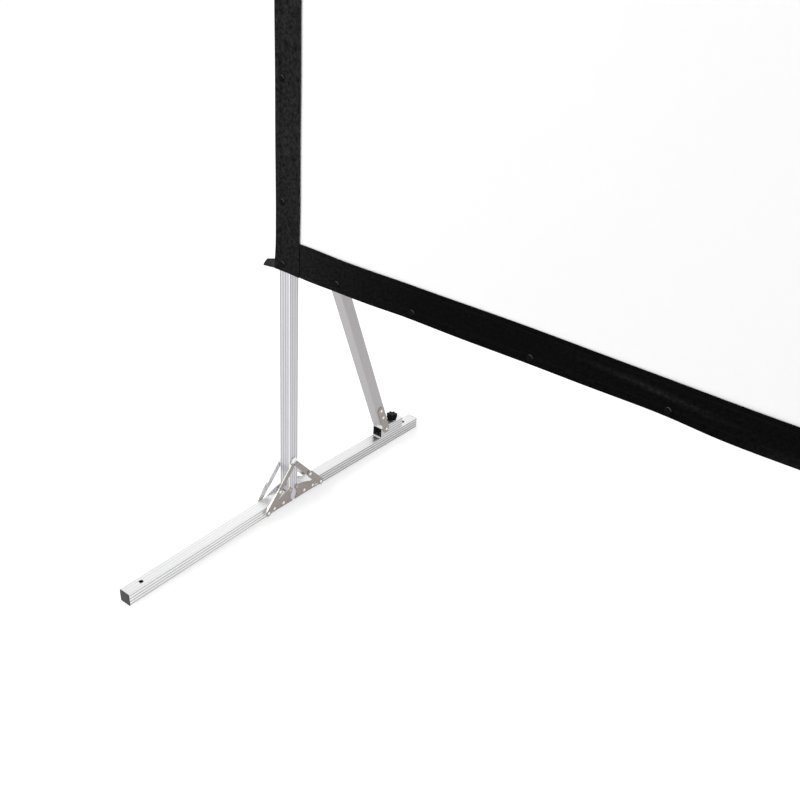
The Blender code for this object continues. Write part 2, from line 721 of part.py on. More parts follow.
def build_shoe(leg, x, pivot, metal, plastic):
    """The shoe on the rear foot half, and the star knob that clamps it."""
    place = {"location": (x, 0, CENTRE_LIFT), "rotation": foot_turn(1)}
    shape = fluted_tube(-SHOE_OUT - SHOE_LENGTH, -SHOE_OUT, ALONG_Y, (0, SHOE_BOTTOM + HALF))
    shoe = solid(f"{leg}_brace_shoe", shape, metal, pivot, **place)
    cut = bmesh.new()
    add_rod(cut, (0, -KNOB_OUT), STUD_SCREW + RUNNING, SHOE_BOTTOM - OVERRUN, SHOE_TOP + OVERRUN,
            ALONG_Z, PIN_STEPS)
    combine(shoe, cut, "DIFFERENCE")

    knob_axis = empty_at(f"{leg}_knob_axis", (x, *foot_point(1, KNOB_OUT, SHOE_TOP)), pivot)
    base = SHOE_TOP + GAP
    shape = bmesh.new()
    levels = ((-KNOB_EDGE, KNOB_HUB_RISE), (0, KNOB_HUB_RISE + KNOB_EDGE),
              (0, KNOB_HUB_RISE + KNOB_HEIGHT - KNOB_EDGE), (-KNOB_EDGE, KNOB_HUB_RISE + KNOB_HEIGHT))
    rings = []
    for grow, height in levels:
        outline = moved(knob_ring(grow), 0, -KNOB_OUT)
        rings.append([shape.verts.new((a, b, base + height)) for a, b in outline])
    for low, high in zip(rings, rings[1:]):
        add_walls(shape, low, high)
    shape.faces.new(rings[0])
    shape.faces.new(rings[-1])
    knob = solid(f"{leg}_brace_knob", shape, plastic, knob_axis, **place)
    more = bmesh.new()
    add_turned(more, ((0, SHOE_BOTTOM), (STUD_SCREW, SHOE_BOTTOM), (STUD_SCREW, base), (KNOB_HUB, base),
                      (KNOB_HUB, base + KNOB_HUB_RISE + WELD), (0, base + KNOB_HUB_RISE + WELD)),
               (0, -KNOB_OUT, 0), ALONG_Z, PIN_STEPS)
    combine(knob, more, "UNION")


def build_leg(leg, x, root, finishes):
    fluted, smooth, steel, grey, black = finishes
    build_post(leg, x, root, fluted)
    build_side_rail(leg, x, root, fluted, grey)
    build_core(leg, x, root, smooth)
    for end in (-1, 1):
        half_name = "front" if end < 0 else "rear"
        centre = foot_point(end, PIVOT_OUT, PIVOT_RISE)
        fold = empty_at(f"{leg}_{half_name}_foot_fold", (x, *centre), root)
        build_foot(leg, x, end, fold, fluted, steel, grey)
        build_stays(leg, x, end, fold, root, steel)
    pivot = build_brace(leg, x, root, smooth, steel)
    build_shoe(leg, x, pivot, fluted, black)


def add_caps(item, places, back):
    """Snap caps on the front of a cloth strip, at (x, z) places."""
    caps = bmesh.new()
    for x, z in places:
        add_head(caps, (x, z, -back - CLOTH), CAP_RADIUS, CAP_RISE, CLOTH / 2, ALONG_Y, -1, SNAP_STEPS)
    combine(item, caps, "UNION")


def build_cloth(root, white, black):
    """The white sheet and the four black strips sewn round it."""
    half = IMAGE_WIDTH / 2
    outer = half + SIDE_STRIP
    sheet = [(half + SEAM, IMAGE_BOTTOM - SEAM), (half + SEAM, IMAGE_TOP + SEAM),
             (-half - SEAM, IMAGE_TOP + SEAM), (-half - SEAM, IMAGE_BOTTOM - SEAM)]
    shape = bmesh.new()
    add_prism(shape, sheet, -SHEET_BACK - CLOTH, -SHEET_BACK, ALONG_Y)
    solid("white_screen_cloth", shape, white, root)

    tip = outer + FLAP_LENGTH
    low = SCREEN_CLEARANCE
    across = [-POST_X] + LEVEL_SNAPS + [POST_X]
    upward = [BOTTOM_RAIL_Z] + SIDE_SNAPS + [TOP_RAIL_Z]
    flap = [(outer, low)]
    flap += arc((tip - FLAP_TIP, low - FLAP_DROP + FLAP_TIP), FLAP_TIP, -90, 30, 4)
    flap += [(outer + FLAP_SHOULDER, low + SHOULDER_HEIGHT), (outer, low + FLAP_HEIGHT)]
    right = flap + [(outer, IMAGE_BOTTOM)]
    left = [(-a, b) for a, b in reversed(right)]
    shape = bmesh.new()
    outline = right + left + scalloped(across, low, HEM_DRAW)
    add_prism(shape, outline, -LEVEL_BACK - CLOTH, -LEVEL_BACK, ALONG_Y)
    bottom = solid("bottom_border_strip", shape, black, root)
    add_caps(bottom, [(x, BOTTOM_RAIL_Z) for x in LEVEL_SNAPS], LEVEL_BACK)

    shape = bmesh.new()
    outline = [(-outer, SCREEN_TOP), (-outer, IMAGE_TOP), (outer, IMAGE_TOP), (outer, SCREEN_TOP)]
    outline += reversed(scalloped(across, SCREEN_TOP, -HEM_DRAW))
    add_prism(shape, outline, -LEVEL_BACK - CLOTH, -LEVEL_BACK, ALONG_Y)
    top = solid("top_border_strip", shape, black, root)
    add_caps(top, [(x, TOP_RAIL_Z) for x in LEVEL_SNAPS], LEVEL_BACK)

    for name, side in (("left_border_strip", -1), ("right_border_strip", 1)):
        shape = bmesh.new()
        outline = [(side * outer, SCREEN_TOP), (side * half, SCREEN_TOP), (side * half, low),
                   (side * outer, low)]
        outline += [(side * a, b) for b, a in scalloped(upward, outer, -HEM_DRAW)]
        add_prism(shape, outline, -SIDE_BACK - CLOTH, -SIDE_BACK, ALONG_Y)
        strip = solid(name, shape, black, root)
        places = [(side * POST_X, z) for z in upward]
        add_caps(strip, places, SIDE_BACK)


def build():
    clear_scene()
    fluted = finish("anodised_fluted_aluminium", (0.72, 0.72, 0.74), 0.38, 0.9)
    smooth = finish("brushed_plain_aluminium", (0.60, 0.59, 0.60), 0.42, 0.9)
    steel = finish("nickelled_steel", (0.34, 0.31, 0.29), 0.36, 0.9)
    grey = finish("grey_moulded_plastic", (0.06, 0.06, 0.062), 0.55, 0)
    black = finish("black_moulded_plastic", (0.03, 0.03, 0.032), 0.5, 0)
    white_cloth = finish("white_front_projection_cloth", (0.94, 0.94, 0.94), 0.75, 0)
    black_cloth = finish("black_border_cloth", (0.02, 0.02, 0.02), 0.85, 0)
    root = empty_at("screen_root", (0, 0, 0))
    for leg, x in (("left", -POST_X), ("right", POST_X)):
        build_leg(leg, x, root, (fluted, smooth, steel, grey, black))
    build_level_rail("bottom_rail", BOTTOM_RAIL_Z, root, fluted)
    build_level_rail("top_rail", TOP_RAIL_Z, root, fluted)
    build_cloth(root, white_cloth, black_cloth)


build()
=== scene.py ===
# %% [markdown]
# # Dressing an outdoor projection screen
#
# The real screen is a white cloth with a sewn black border. Press studs hold it on a frame of fluted
# square aluminium tube, and the frame stands on two folding T-shaped legs with riveted steel hinges.
#
# Everything rigid was measured and built beforehand, joints included, so this lesson starts by
# loading that model as a fixed frame. It never moves a rigid piece. What it adds is what the eye
# looks for: rounded edges, metal grain, domed rivets, a moulded knob, and cloth that is really sewn.

# %% Load the frame
import json
import math

import bmesh
import bpy
from mathutils import Matrix, Vector, noise


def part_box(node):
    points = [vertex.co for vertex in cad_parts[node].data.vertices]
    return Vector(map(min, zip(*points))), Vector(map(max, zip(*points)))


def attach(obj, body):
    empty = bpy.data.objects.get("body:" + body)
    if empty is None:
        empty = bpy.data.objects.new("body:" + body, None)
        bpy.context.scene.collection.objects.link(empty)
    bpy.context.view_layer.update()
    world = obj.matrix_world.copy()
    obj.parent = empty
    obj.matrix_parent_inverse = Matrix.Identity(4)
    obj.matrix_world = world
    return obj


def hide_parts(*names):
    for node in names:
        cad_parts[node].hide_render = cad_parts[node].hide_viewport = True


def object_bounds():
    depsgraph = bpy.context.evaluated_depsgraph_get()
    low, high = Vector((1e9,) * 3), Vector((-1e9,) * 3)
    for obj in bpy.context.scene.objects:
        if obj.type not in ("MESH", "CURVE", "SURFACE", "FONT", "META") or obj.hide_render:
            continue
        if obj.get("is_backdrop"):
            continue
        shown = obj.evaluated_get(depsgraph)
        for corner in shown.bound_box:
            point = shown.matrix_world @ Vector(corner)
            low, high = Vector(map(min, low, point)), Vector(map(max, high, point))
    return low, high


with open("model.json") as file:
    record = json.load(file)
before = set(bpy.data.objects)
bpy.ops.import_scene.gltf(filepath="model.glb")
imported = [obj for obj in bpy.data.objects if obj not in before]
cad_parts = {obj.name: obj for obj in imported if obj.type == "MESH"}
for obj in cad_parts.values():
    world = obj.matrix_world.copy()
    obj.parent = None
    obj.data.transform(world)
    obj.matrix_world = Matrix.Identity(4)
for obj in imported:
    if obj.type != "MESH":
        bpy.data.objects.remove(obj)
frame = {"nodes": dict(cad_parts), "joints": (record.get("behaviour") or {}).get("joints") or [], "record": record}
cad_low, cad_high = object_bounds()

nodes = frame["nodes"]

# %% [markdown]
# ## Read the sizes off the frame
#
# A maker measures before cutting cloth. The joints say where the two legs stand, and the boxes of a
# few pieces give the tube, the border and the planes that the cloth layers lie in. Reading them here,
# instead of typing them again, keeps every new piece in step with the frame.

# %% Sizes that everything else follows
LEGS = ("left", "right")
JOINTS = {joint["name"]: joint for joint in frame["joints"]}
leg_x = {leg: JOINTS[f"{leg}_brace_swing"]["pos_m"][0] for leg in LEGS}
leg_side = {"left": -1, "right": 1}

shoe_low, shoe_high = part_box("left_brace_shoe")
tube = shoe_high.x - shoe_low.x

strip_low, strip_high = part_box("right_border_strip")
border_inner, border_outer = strip_low.x, strip_high.x
border_bottom, border_top = strip_low.z, strip_high.z
image_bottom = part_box("bottom_border_strip")[1].z
image_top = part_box("top_border_strip")[0].z
sheet_low, sheet_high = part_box("white_screen_cloth")
cloth = sheet_high.y - sheet_low.y
tab_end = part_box("bottom_border_strip")[1].x

print(f"tube {tube * 1000:.0f} mm, legs {leg_x['right'] - leg_x['left']:.3f} m apart")
print(f"white area {2 * border_inner:.3f} x {image_top - image_bottom:.3f} m, cloth {cloth * 1000:.1f} mm")

# %% [markdown]
# ## Where the rivets and studs are
#
# Rivet heads and stud caps already stand on the rigid pieces as plain eight-sided discs. Each one is
# found again from the mesh: the points that share a level far out on one side are sorted into groups
# that lie close together, and the middle of each group is the middle of a head.

# %% Find round heads on a piece
SAME_LEVEL = 0.00004
HEAD_SPAN = 0.012


def face_levels(node, axis, middle=0.0):
    """The distances from the middle at which a piece has faces square to an axis, furthest last."""
    found = []
    for vertex in nodes[node].data.vertices:
        level = abs(vertex.co[axis] - middle)
        if not any(abs(level - known) < SAME_LEVEL for known in found):
            found.append(level)
    return sorted(found)


def head_middles(node, axis, level, middle=0.0):
    """The middle of each group of points at one level, as places on that level."""
    groups = []
    for vertex in nodes[node].data.vertices:
        point = vertex.co
        if abs(abs(point[axis] - middle) - level) > SAME_LEVEL:
            continue
        near = [group for group in groups if (group[0] - point).length < HEAD_SPAN]
        if near:
            if all((point - known).length > SAME_LEVEL for known in near[0]):
                near[0].append(point.copy())
        else:
            groups.append([point.copy()])
    return [sum(group, Vector()) / len(group) for group in groups]


def stud_middles(node):
    """The middles of the stud caps, which stand furthest out on a border strip."""
    return head_middles(node, 1, face_levels(node, 1)[-1])


side_snaps = sorted(point.z for point in stud_middles("left_border_strip"))
level_snaps = sorted(point.x for point in stud_middles("bottom_border_strip"))
print(len(side_snaps), "studs up each side,", len(level_snaps), "along each level strip")

# %% [markdown]
# ## Shared effects as node groups
#
# Several finishes need the same effect at different strengths: drawn grain on metal, finger marks,
# worn edges, woven thread, rows of stitches. Each is one node group with named inputs. A group gives
# out only values and masks that change over the surface. The shader itself stays in each material,
# where its constants are easy to read. A few helpers come first, because node code repeats itself:
# one feeds a socket, one adds a math node, and two tell where a point lies and which way it looks.

# %% Helpers for node groups
NUMBER, VECTOR = "NodeSocketFloat", "NodeSocketVector"


def new_group(name, inputs, outputs):
    """An empty shader group with its named sockets."""
    group = bpy.data.node_groups.new(name, "ShaderNodeTree")
    for socket_name, kind, value in inputs:
        socket = group.interface.new_socket(socket_name, in_out="INPUT", socket_type=kind)
        socket.default_value = value
    for socket_name in outputs:
        group.interface.new_socket(socket_name, in_out="OUTPUT", socket_type=NUMBER)
    return group, group.nodes.new("NodeGroupInput"), group.nodes.new("NodeGroupOutput")


def feed(tree, value, socket):
    """Gives a socket a value, or another socket to follow."""
    if isinstance(value, bpy.types.NodeSocket):
        tree.links.new(value, socket)
    else:
        socket.default_value = value


def math_node(tree, operation, *values):
    """A math node. Each value is a number or the socket that feeds it."""
    node = tree.nodes.new("ShaderNodeMath")
    node.operation = operation
    for socket, value in zip(node.inputs, values):
        feed(tree, value, socket)
    return node.outputs[0]


def split_axes(tree, socket):
    """The X, Y and Z sockets of a vector."""
    split = tree.nodes.new("ShaderNodeSeparateXYZ")
    tree.links.new(socket, split.inputs[0])
    return split.outputs


def object_place(tree):
    """Where a point lies on its piece. The pieces stand at rest, so these are the frame's own metres."""
    return tree.nodes.new("ShaderNodeTexCoord").outputs["Object"]


def facing(tree, normal="True Normal"):
    """Which way the surface looks, as X, Y and Z sockets."""
    return split_axes(tree, tree.nodes.new("ShaderNodeNewGeometry").outputs[normal])


print("a socket is either", NUMBER, "or", VECTOR)

# %% [markdown]
# ### Drawn grain
#
# Extruded and brushed aluminium has fine lines along its length. Noise that is stretched very long in
# one direction gives them. The stretch is a vector input, so a post, a foot and a rail can share the
# group with the grain along their own length, and a turn input lays it along the raking brace.

# %% Drawn grain
def build_grain():
    group, given, result = new_group(
        "drawn_grain", (("Turn", VECTOR, (0, 0, 0)), ("Stretch", VECTOR, (900, 900, 9)),
                        ("Contrast", NUMBER, 0.5)), ("Shade", "Height"))
    mapping = group.nodes.new("ShaderNodeMapping")
    lines = group.nodes.new("ShaderNodeTexNoise")
    lines.inputs["Scale"].default_value = 1
    lines.inputs["Detail"].default_value = 3
    group.links.new(object_place(group), mapping.inputs["Vector"])
    group.links.new(given.outputs["Turn"], mapping.inputs["Rotation"])
    group.links.new(given.outputs["Stretch"], mapping.inputs["Scale"])
    group.links.new(mapping.outputs["Vector"], lines.inputs["Vector"])
    centred = math_node(group, "SUBTRACT", lines.outputs["Fac"], 0.5)
    shade = math_node(group, "MULTIPLY", centred, given.outputs["Contrast"])
    group.links.new(shade, result.inputs["Shade"])
    group.links.new(centred, result.inputs["Height"])
    return group


drawn_grain = build_grain()
print("group", drawn_grain.name)

# %% [markdown]
# ### Handling marks and worn edges
#
# A frame that is carried and folded gets dull patches where hands hold it, and its edges are rubbed
# bright. The patches are broad noise. The edges are found by comparing the surface's normal with one
# that has been rounded over a small radius: where the two differ, there is an edge.

# %% Handling marks and worn edges
EDGE_GAIN = 8.0


def build_marks():
    group, given, result = new_group(
        "handling_marks", (("Scale", NUMBER, 9), ("Amount", NUMBER, 0.1)), ("Shade",))
    cloud = group.nodes.new("ShaderNodeTexNoise")
    cloud.inputs["Detail"].default_value = 6
    cloud.inputs["Roughness"].default_value = 0.62
    group.links.new(object_place(group), cloud.inputs["Vector"])
    group.links.new(given.outputs["Scale"], cloud.inputs["Scale"])
    centred = math_node(group, "SUBTRACT", cloud.outputs["Fac"], 0.5)
    shade = math_node(group, "MULTIPLY", centred, given.outputs["Amount"])
    group.links.new(shade, result.inputs["Shade"])
    return group


def build_wear():
    group, given, result = new_group(
        "worn_edges", (("Width", NUMBER, 0.0005), ("Amount", NUMBER, 0.5)), ("Mask",))
    rounded = group.nodes.new("ShaderNodeBevel")
    rounded.samples = 4
    group.links.new(given.outputs["Width"], rounded.inputs["Radius"])
    surface = group.nodes.new("ShaderNodeNewGeometry")
    alike = group.nodes.new("ShaderNodeVectorMath")
    alike.operation = "DOT_PRODUCT"
    group.links.new(rounded.outputs["Normal"], alike.inputs[0])
    group.links.new(surface.outputs["Normal"], alike.inputs[1])
    edge = math_node(group, "SUBTRACT", 1.0, alike.outputs["Value"])
    strong = math_node(group, "MULTIPLY", edge, EDGE_GAIN)
    held = math_node(group, "MINIMUM", strong, 1.0)
    group.links.new(math_node(group, "MULTIPLY", held, given.outputs["Amount"]), result.inputs["Mask"])
    return group


handling_marks = build_marks()
worn_edges = build_wear()
print("groups", handling_marks.name, worn_edges.name)

# %% [markdown]
# ### Flutes
#
# Each face of the extruded tube has four long flutes, and shade is painted into them, so they are
# darker than the lands between. The mesh has the flutes, and this group only says how deep in one
# a point lies. It takes the point's two distances from the middle of the tube: in a flute, the
# larger one is a little less than half the tube. It also marks the rounded corners of the tube,
# where a highlight is painted, and whatever stands proud of its faces, such as a cast lug.

# %% Flutes
FLUTE_DEPTH = 0.0008
CORNER = 0.0014
PROUD = 0.0002


def build_flutes():
    group, given, result = new_group(
        "tube_flutes", (("Across", NUMBER, 0), ("Upward", NUMBER, 0), ("Half", NUMBER, 0.016)),
        ("In sides", "In flats", "Corner", "Proud"))
    across = math_node(group, "ABSOLUTE", given.outputs["Across"])
    upward = math_node(group, "ABSOLUTE", given.outputs["Upward"])
    far = math_node(group, "MAXIMUM", across, upward)
    below = math_node(group, "SUBTRACT", given.outputs["Half"], far)
    depth = math_node(group, "DIVIDE", below, FLUTE_DEPTH)
    depth.node.use_clamp = True
    nearer = math_node(group, "MINIMUM", across, upward)
    from_corner = math_node(group, "SUBTRACT", given.outputs["Half"], nearer)
    inside = math_node(group, "GREATER_THAN", from_corner, CORNER)
    in_flute = math_node(group, "MULTIPLY", depth, inside)
    on_side = math_node(group, "GREATER_THAN", across, upward)
    in_sides = math_node(group, "MULTIPLY", in_flute, on_side)
    group.links.new(in_sides, result.inputs["In sides"])
    group.links.new(math_node(group, "SUBTRACT", in_flute, in_sides), result.inputs["In flats"])
    touching = math_node(group, "LESS_THAN", below, FLUTE_DEPTH)
    at_corner = math_node(group, "MULTIPLY", touching, math_node(group, "SUBTRACT", 1.0, inside))
    group.links.new(at_corner, result.inputs["Corner"])
    group.links.new(math_node(group, "LESS_THAN", below, -PROUD), result.inputs["Proud"])
    return group


tube_flutes = build_flutes()
print("group", tube_flutes.name)

# %% [markdown]
# ### Weave and stitches
#
# Both cloths are woven and coated. Two sine waves across each other are enough for the thread, since a
# thread is far smaller than a pixel from any normal distance. The stitches need to know where they are
# on the strip, so every cloth mesh stores that as an attribute: how far along the strip a point
# is, how far from the outer edge and how far from the inner edge.

# %% Weave and stitches
STITCH_SHARE = 0.68


def build_weave():
    group, given, result = new_group("plain_weave", (("Threads", NUMBER, 1900),), ("Shade",))
    axes = split_axes(group, object_place(group))
    waves = []
    for axis in ("X", "Z"):
        angle = math_node(group, "MULTIPLY", axes[axis], given.outputs["Threads"])
        waves.append(math_node(group, "SINE", angle))
    group.links.new(math_node(group, "MULTIPLY", *waves), result.inputs["Shade"])
    return group


def build_stitches():
    group, given, result = new_group(
        "stitch_rows", (("Pitch", NUMBER, 0.0032), ("Thread", NUMBER, 0.0005),
                        ("From outer edge", NUMBER, 0.018), ("From inner edge", NUMBER, 0.012)),
        ("Mask",))
    place = group.nodes.new("ShaderNodeAttribute")
    place.attribute_name = "cloth_place"
    axes = split_axes(group, place.outputs["Vector"])
    step = math_node(group, "DIVIDE", axes["X"], given.outputs["Pitch"])
    dash = math_node(group, "LESS_THAN", math_node(group, "FRACT", step), STITCH_SHARE)
    rows = []
    for across, distance in (("Y", "From outer edge"), ("Z", "From inner edge")):
        rows.append(math_node(group, "COMPARE", axes[across], given.outputs[distance],
                              given.outputs["Thread"]))
    either = math_node(group, "MAXIMUM", *rows)
    group.links.new(math_node(group, "MULTIPLY", either, dash), result.inputs["Mask"])
    return group


plain_weave = build_weave()
stitch_rows = build_stitches()
print("groups", plain_weave.name, stitch_rows.name)

# %% [markdown]
# ## Metal finishes
#
# The metals are satin anodised fluted tube, plain tube with a brushed face, cast blocks, pressed
# steel with a dull warm plating, and bright rivets. Each finish starts from one principled shader.
# These helpers place a shared group in a material and make its colours lighter, darker or mixed.

# %% Helpers for finishes
def add_group(tree, group, **values):
    """Places a shared group in a material, with its values by input name."""
    node = tree.nodes.new("ShaderNodeGroup")
    node.node_tree = group
    for name, value in values.items():
        node.inputs[name.replace("_", " ")].default_value = value
    return node


def scaled(tree, colour, factor):
    """A colour times a factor."""
    node = tree.nodes.new("ShaderNodeVectorMath")
    node.operation = "SCALE"
    feed(tree, colour, node.inputs[0])
    tree.links.new(factor, node.inputs["Scale"])
    return node.outputs["Vector"]


def shifted_colour(tree, colour, shade):
    """A colour made lighter or darker by a shade around zero."""
    return scaled(tree, colour, math_node(tree, "ADD", shade, 1.0))


def mixed(tree, amount, first, second):
    """A colour mix. Each colour is a tuple or a socket."""
    node = tree.nodes.new("ShaderNodeMix")
    node.data_type = "RGBA"
    tree.links.new(amount, node.inputs["Factor"])
    for name, value in (("A", first), ("B", second)):
        socket = next(s for s in node.inputs if s.name == name and s.type == "RGBA")
        feed(tree, (*value, 1) if isinstance(value, tuple) else value, socket)
    return next(s for s in node.outputs if s.type == "RGBA")


def add_bump(tree, shader, height, strength, distance):
    """Lets a height lean the shader's normal."""
    bump = tree.nodes.new("ShaderNodeBump")
    bump.inputs["Strength"].default_value = strength
    bump.inputs["Distance"].default_value = distance
    tree.links.new(height, bump.inputs["Height"])
    tree.links.new(bump.outputs["Normal"], shader.inputs["Normal"])


def new_finish(name):
    """A new material, its node tree and its shader."""
    material = bpy.data.materials.new(name)
    material.use_nodes = True
    tree = material.node_tree
    return material, tree, tree.nodes["Principled BSDF"]


print("groups to place:", ", ".join(group.name for group in bpy.data.node_groups))

# %% [markdown]
# ### A metal
#
# Grain shifts a metal's colour a little and its roughness more, marks dull it in patches, and worn
# edges are brighter and smoother. Metal gets its colour from what it mirrors, so the base colours
# are the metals' own. The grain also feeds a bump, a fraction of a millimetre deep.

# %% Build a metal
MARK_SCALE = 11
GRAIN_ROUGHENS = 1.2
WEAR_SMOOTHS = 0.1
LINE_DEPTH = 0.0002


def metal(name, colour, worn_colour, roughness, stretch, turn=(0, 0, 0), grain=0.12, marks=0.10,
          wear=0.5, wear_width=0.0005, lines=0.05, tone=None):
    """A metal finish with its grain along one direction. tone changes its colour from place to place."""
    material, tree, shader = new_finish(name)
    shader.inputs["Metallic"].default_value = 1
    drawn = add_group(tree, drawn_grain, Turn=turn, Stretch=stretch, Contrast=grain)
    cloud = add_group(tree, handling_marks, Scale=MARK_SCALE, Amount=marks)
    edges = add_group(tree, worn_edges, Width=wear_width, Amount=wear)
    shade = math_node(tree, "ADD", drawn.outputs["Shade"], cloud.outputs["Shade"])
    plain = shifted_colour(tree, colour, shade)
    if tone:
        plain = tone(tree, plain)
    tree.links.new(mixed(tree, edges.outputs["Mask"], plain, worn_colour), shader.inputs["Base Color"])
    rough = math_node(tree, "ADD", math_node(tree, "MULTIPLY", shade, GRAIN_ROUGHENS), roughness)
    smooth = math_node(tree, "MULTIPLY", edges.outputs["Mask"], WEAR_SMOOTHS)
    tree.links.new(math_node(tree, "SUBTRACT", rough, smooth), shader.inputs["Roughness"])
    add_bump(tree, shader, drawn.outputs["Height"], lines, LINE_DEPTH)
    return material


print(f"grain lines are {LINE_DEPTH * 1000:.1f} mm deep at full strength")

# %% [markdown]
# ### Where a point lies on its tube
#
# Each fluted piece lies along its own line, so each needs its own pair of distances. The feet droop
# slightly from the hinge to their ends, and the shoe lies on the rear one at the same slope. The
# slope is read from the knob's axis, and the feet's length from the cap at the end of one.

# %% Distances from a tube's middle
slope_axis = Vector(JOINTS["left_knob_turn"]["axis"])
slope = math.atan2(slope_axis.y, slope_axis.z)
foot_reach = (-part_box("left_front_end_cap")[0].y - tube * math.sin(slope)) / math.cos(slope)
rail_middles = [(low.z + high.z) / 2 for low, high in (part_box("bottom_rail"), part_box("top_rail"))]
SEAT = 0.0003


def tube_distances(tree, kind):
    """A point's distances from the middle of its tube, across it and upward."""
    x, y, z = split_axes(tree, object_place(tree))
    from_leg = math_node(tree, "SUBTRACT", math_node(tree, "ABSOLUTE", x), leg_x["right"])
    if kind == "upright":
        return from_leg, y
    if kind == "level":
        bottom, top = rail_middles
        from_middle = math_node(tree, "ABSOLUTE", math_node(tree, "SUBTRACT", z, (bottom + top) / 2))
        return y, math_node(tree, "SUBTRACT", from_middle, (top - bottom) / 2)
    # What isn't a foot is the shoe, which is one tube's height further up.
    middle = tube / 2 if kind == "foot" else tube * 1.5 + SEAT
    height = math_node(tree, "MULTIPLY", z, math.cos(slope))
    out = math_node(tree, "MULTIPLY", math_node(tree, "ABSOLUTE", y), math.sin(slope))
    rise = math_node(tree, "ADD", height, out)
    end_rise = foot_reach * math.sin(slope) * math.cos(slope)
    return from_leg, math_node(tree, "SUBTRACT", rise, middle + end_rise)


print(f"feet slope {math.degrees(slope):.2f} degrees over {foot_reach:.3f} m")

# %% [markdown]
# ### Colours that follow the place
#
# A tone is a function that a finish calls to change its plain colour from place to place. One paints
# shade into the flutes, by one share on a tube's sides and by another on its top, paints shade or
# light on whole side faces, and paints a highlight on the corners. One gives the plated straps their
# second colour: painted reflected light on the face that is turned to the tube, and a painted
# highlight on their cut rims. One paints shade on the sides of the plain brace.

# %% Tones
TURNED_ASIDE = 0.5
SIDE_SHADE_SHARE = 0.85


def fluted_shade_and_highlight(kind, in_sides, in_flats, sides=0.0, corners=0.5):
    """Paints shade into the flutes and shade or light onto the side faces by given shares, paints a highlight on
    the corners, and gives what stands proud the lighter cast colour.
    """
    def tone(tree, plain):
        across, upward = tube_distances(tree, kind)
        flutes = add_group(tree, tube_flutes, Half=tube / 2)
        tree.links.new(across, flutes.inputs["Across"])
        tree.links.new(upward, flutes.inputs["Upward"])
        # Painted shade in the flutes and, by the share sides, on the side faces; a negative share paints light.
        dark = math_node(tree, "MULTIPLY", flutes.outputs["In sides"], in_sides)
        dark = math_node(tree, "MULTIPLY_ADD", flutes.outputs["In flats"], in_flats, dark)
        on_side = math_node(tree, "GREATER_THAN", math_node(tree, "ABSOLUTE", across),
                            math_node(tree, "ABSOLUTE", upward))
        dark = math_node(tree, "MULTIPLY_ADD", on_side, sides, dark)
        shaded = scaled(tree, plain, math_node(tree, "SUBTRACT", 1.0, dark))
        # Painted highlight: the corners are mixed towards the light worn colour.
        corner = math_node(tree, "MULTIPLY", flutes.outputs["Corner"], corners)
        wear_and_highlight = mixed(tree, corner, shaded, ANODISED_WORN_AND_HIGHLIGHT)
        return mixed(tree, flutes.outputs["Proud"], wear_and_highlight, CAST)
    return tone


def inner_light_and_rim_highlight(inner_light_colour, rim_highlight_colour):
    """Painted light: a lighter colour, for reflected light, on the faces that are turned to the tube between two
    straps, and a painted highlight on rims.
    """
    def tone(tree, plain):
        x = split_axes(tree, object_place(tree))["X"]
        aside = facing(tree)["X"]
        beyond = math_node(tree, "SUBTRACT", math_node(tree, "ABSOLUTE", x), leg_x["right"])
        outward = math_node(tree, "MULTIPLY", math_node(tree, "SIGN", beyond), math_node(tree, "SIGN", x))
        away = math_node(tree, "MULTIPLY", outward, aside)
        rim = math_node(tree, "LESS_THAN", math_node(tree, "ABSOLUTE", aside), TURNED_ASIDE)
        rim_highlighted = mixed(tree, rim, plain, rim_highlight_colour)
        return mixed(tree, math_node(tree, "LESS_THAN", away, -TURNED_ASIDE), rim_highlighted, inner_light_colour)
    return tone


def painted_side_shade(colour):
    """Painted shade: a darker colour on the faces that are turned sideways."""
    def tone(tree, plain):
        aside = math_node(tree, "ABSOLUTE", facing(tree)["X"])
        return mixed(tree, math_node(tree, "MULTIPLY", aside, SIDE_SHADE_SHARE), plain, colour)
    return tone


print(f"at most {SIDE_SHADE_SHARE:.0%} of the duller colour on the sides of the brace")

# %% [markdown]
# ### The metals
#
# The uprights have a darker colour than the feet and the rails, as painted shade for their upright faces, and the
# rear feet a slightly darker one than the front feet.
# The grain runs along each extrusion, and its stretch says so: a low number along the tube and high
# ones across it. Pressed steel has no direction, so its three numbers are alike. The brace rakes, and
# its grain is turned with it.

# %% The metals
FINE, LONG = 850, 7
ALONG_X, ALONG_Y, ALONG_Z = (LONG, FINE, FINE), (FINE, LONG, FINE), (FINE, FINE, LONG)
ANODISED = (0.66, 0.655, 0.67)
# Painted shade: the uprights' colour is darker than the feet's, for their upright faces.
ANODISED_UPRIGHT_SHADED = (0.56, 0.555, 0.58)
ANODISED_FOOT = (0.70, 0.705, 0.70)
ANODISED_REAR = (0.65, 0.65, 0.65)
# Light worn colour of rubbed edges, also used for the painted highlight on tube corners.
ANODISED_WORN_AND_HIGHLIGHT = (0.90, 0.90, 0.91)
ANODISED_ROUGHNESS = 0.36
CAST = (0.78, 0.78, 0.79)
PLAIN = (0.42, 0.411, 0.413)
# Painted shade for the brace's side faces.
PLAIN_SIDE_SHADE = (0.375, 0.364, 0.367)
PLAIN_WORN = (0.66, 0.65, 0.65)
CORE = (0.58, 0.57, 0.61)
STEEL = (0.31, 0.281, 0.26)
# Painted reflected light on the inner faces of the straps, and painted highlights on their rims and flanges.
STEEL_INNER_LIGHT = (0.90, 0.90, 0.90)
STEEL_RIM_HIGHLIGHT = (0.50, 0.485, 0.47)
FLANGE_HIGHLIGHT = (0.66, 0.66, 0.66)
STEEL_WORN = (0.74, 0.72, 0.70)
RIVET = (0.80, 0.79, 0.78)
RIVET_WORN = (0.85, 0.84, 0.83)

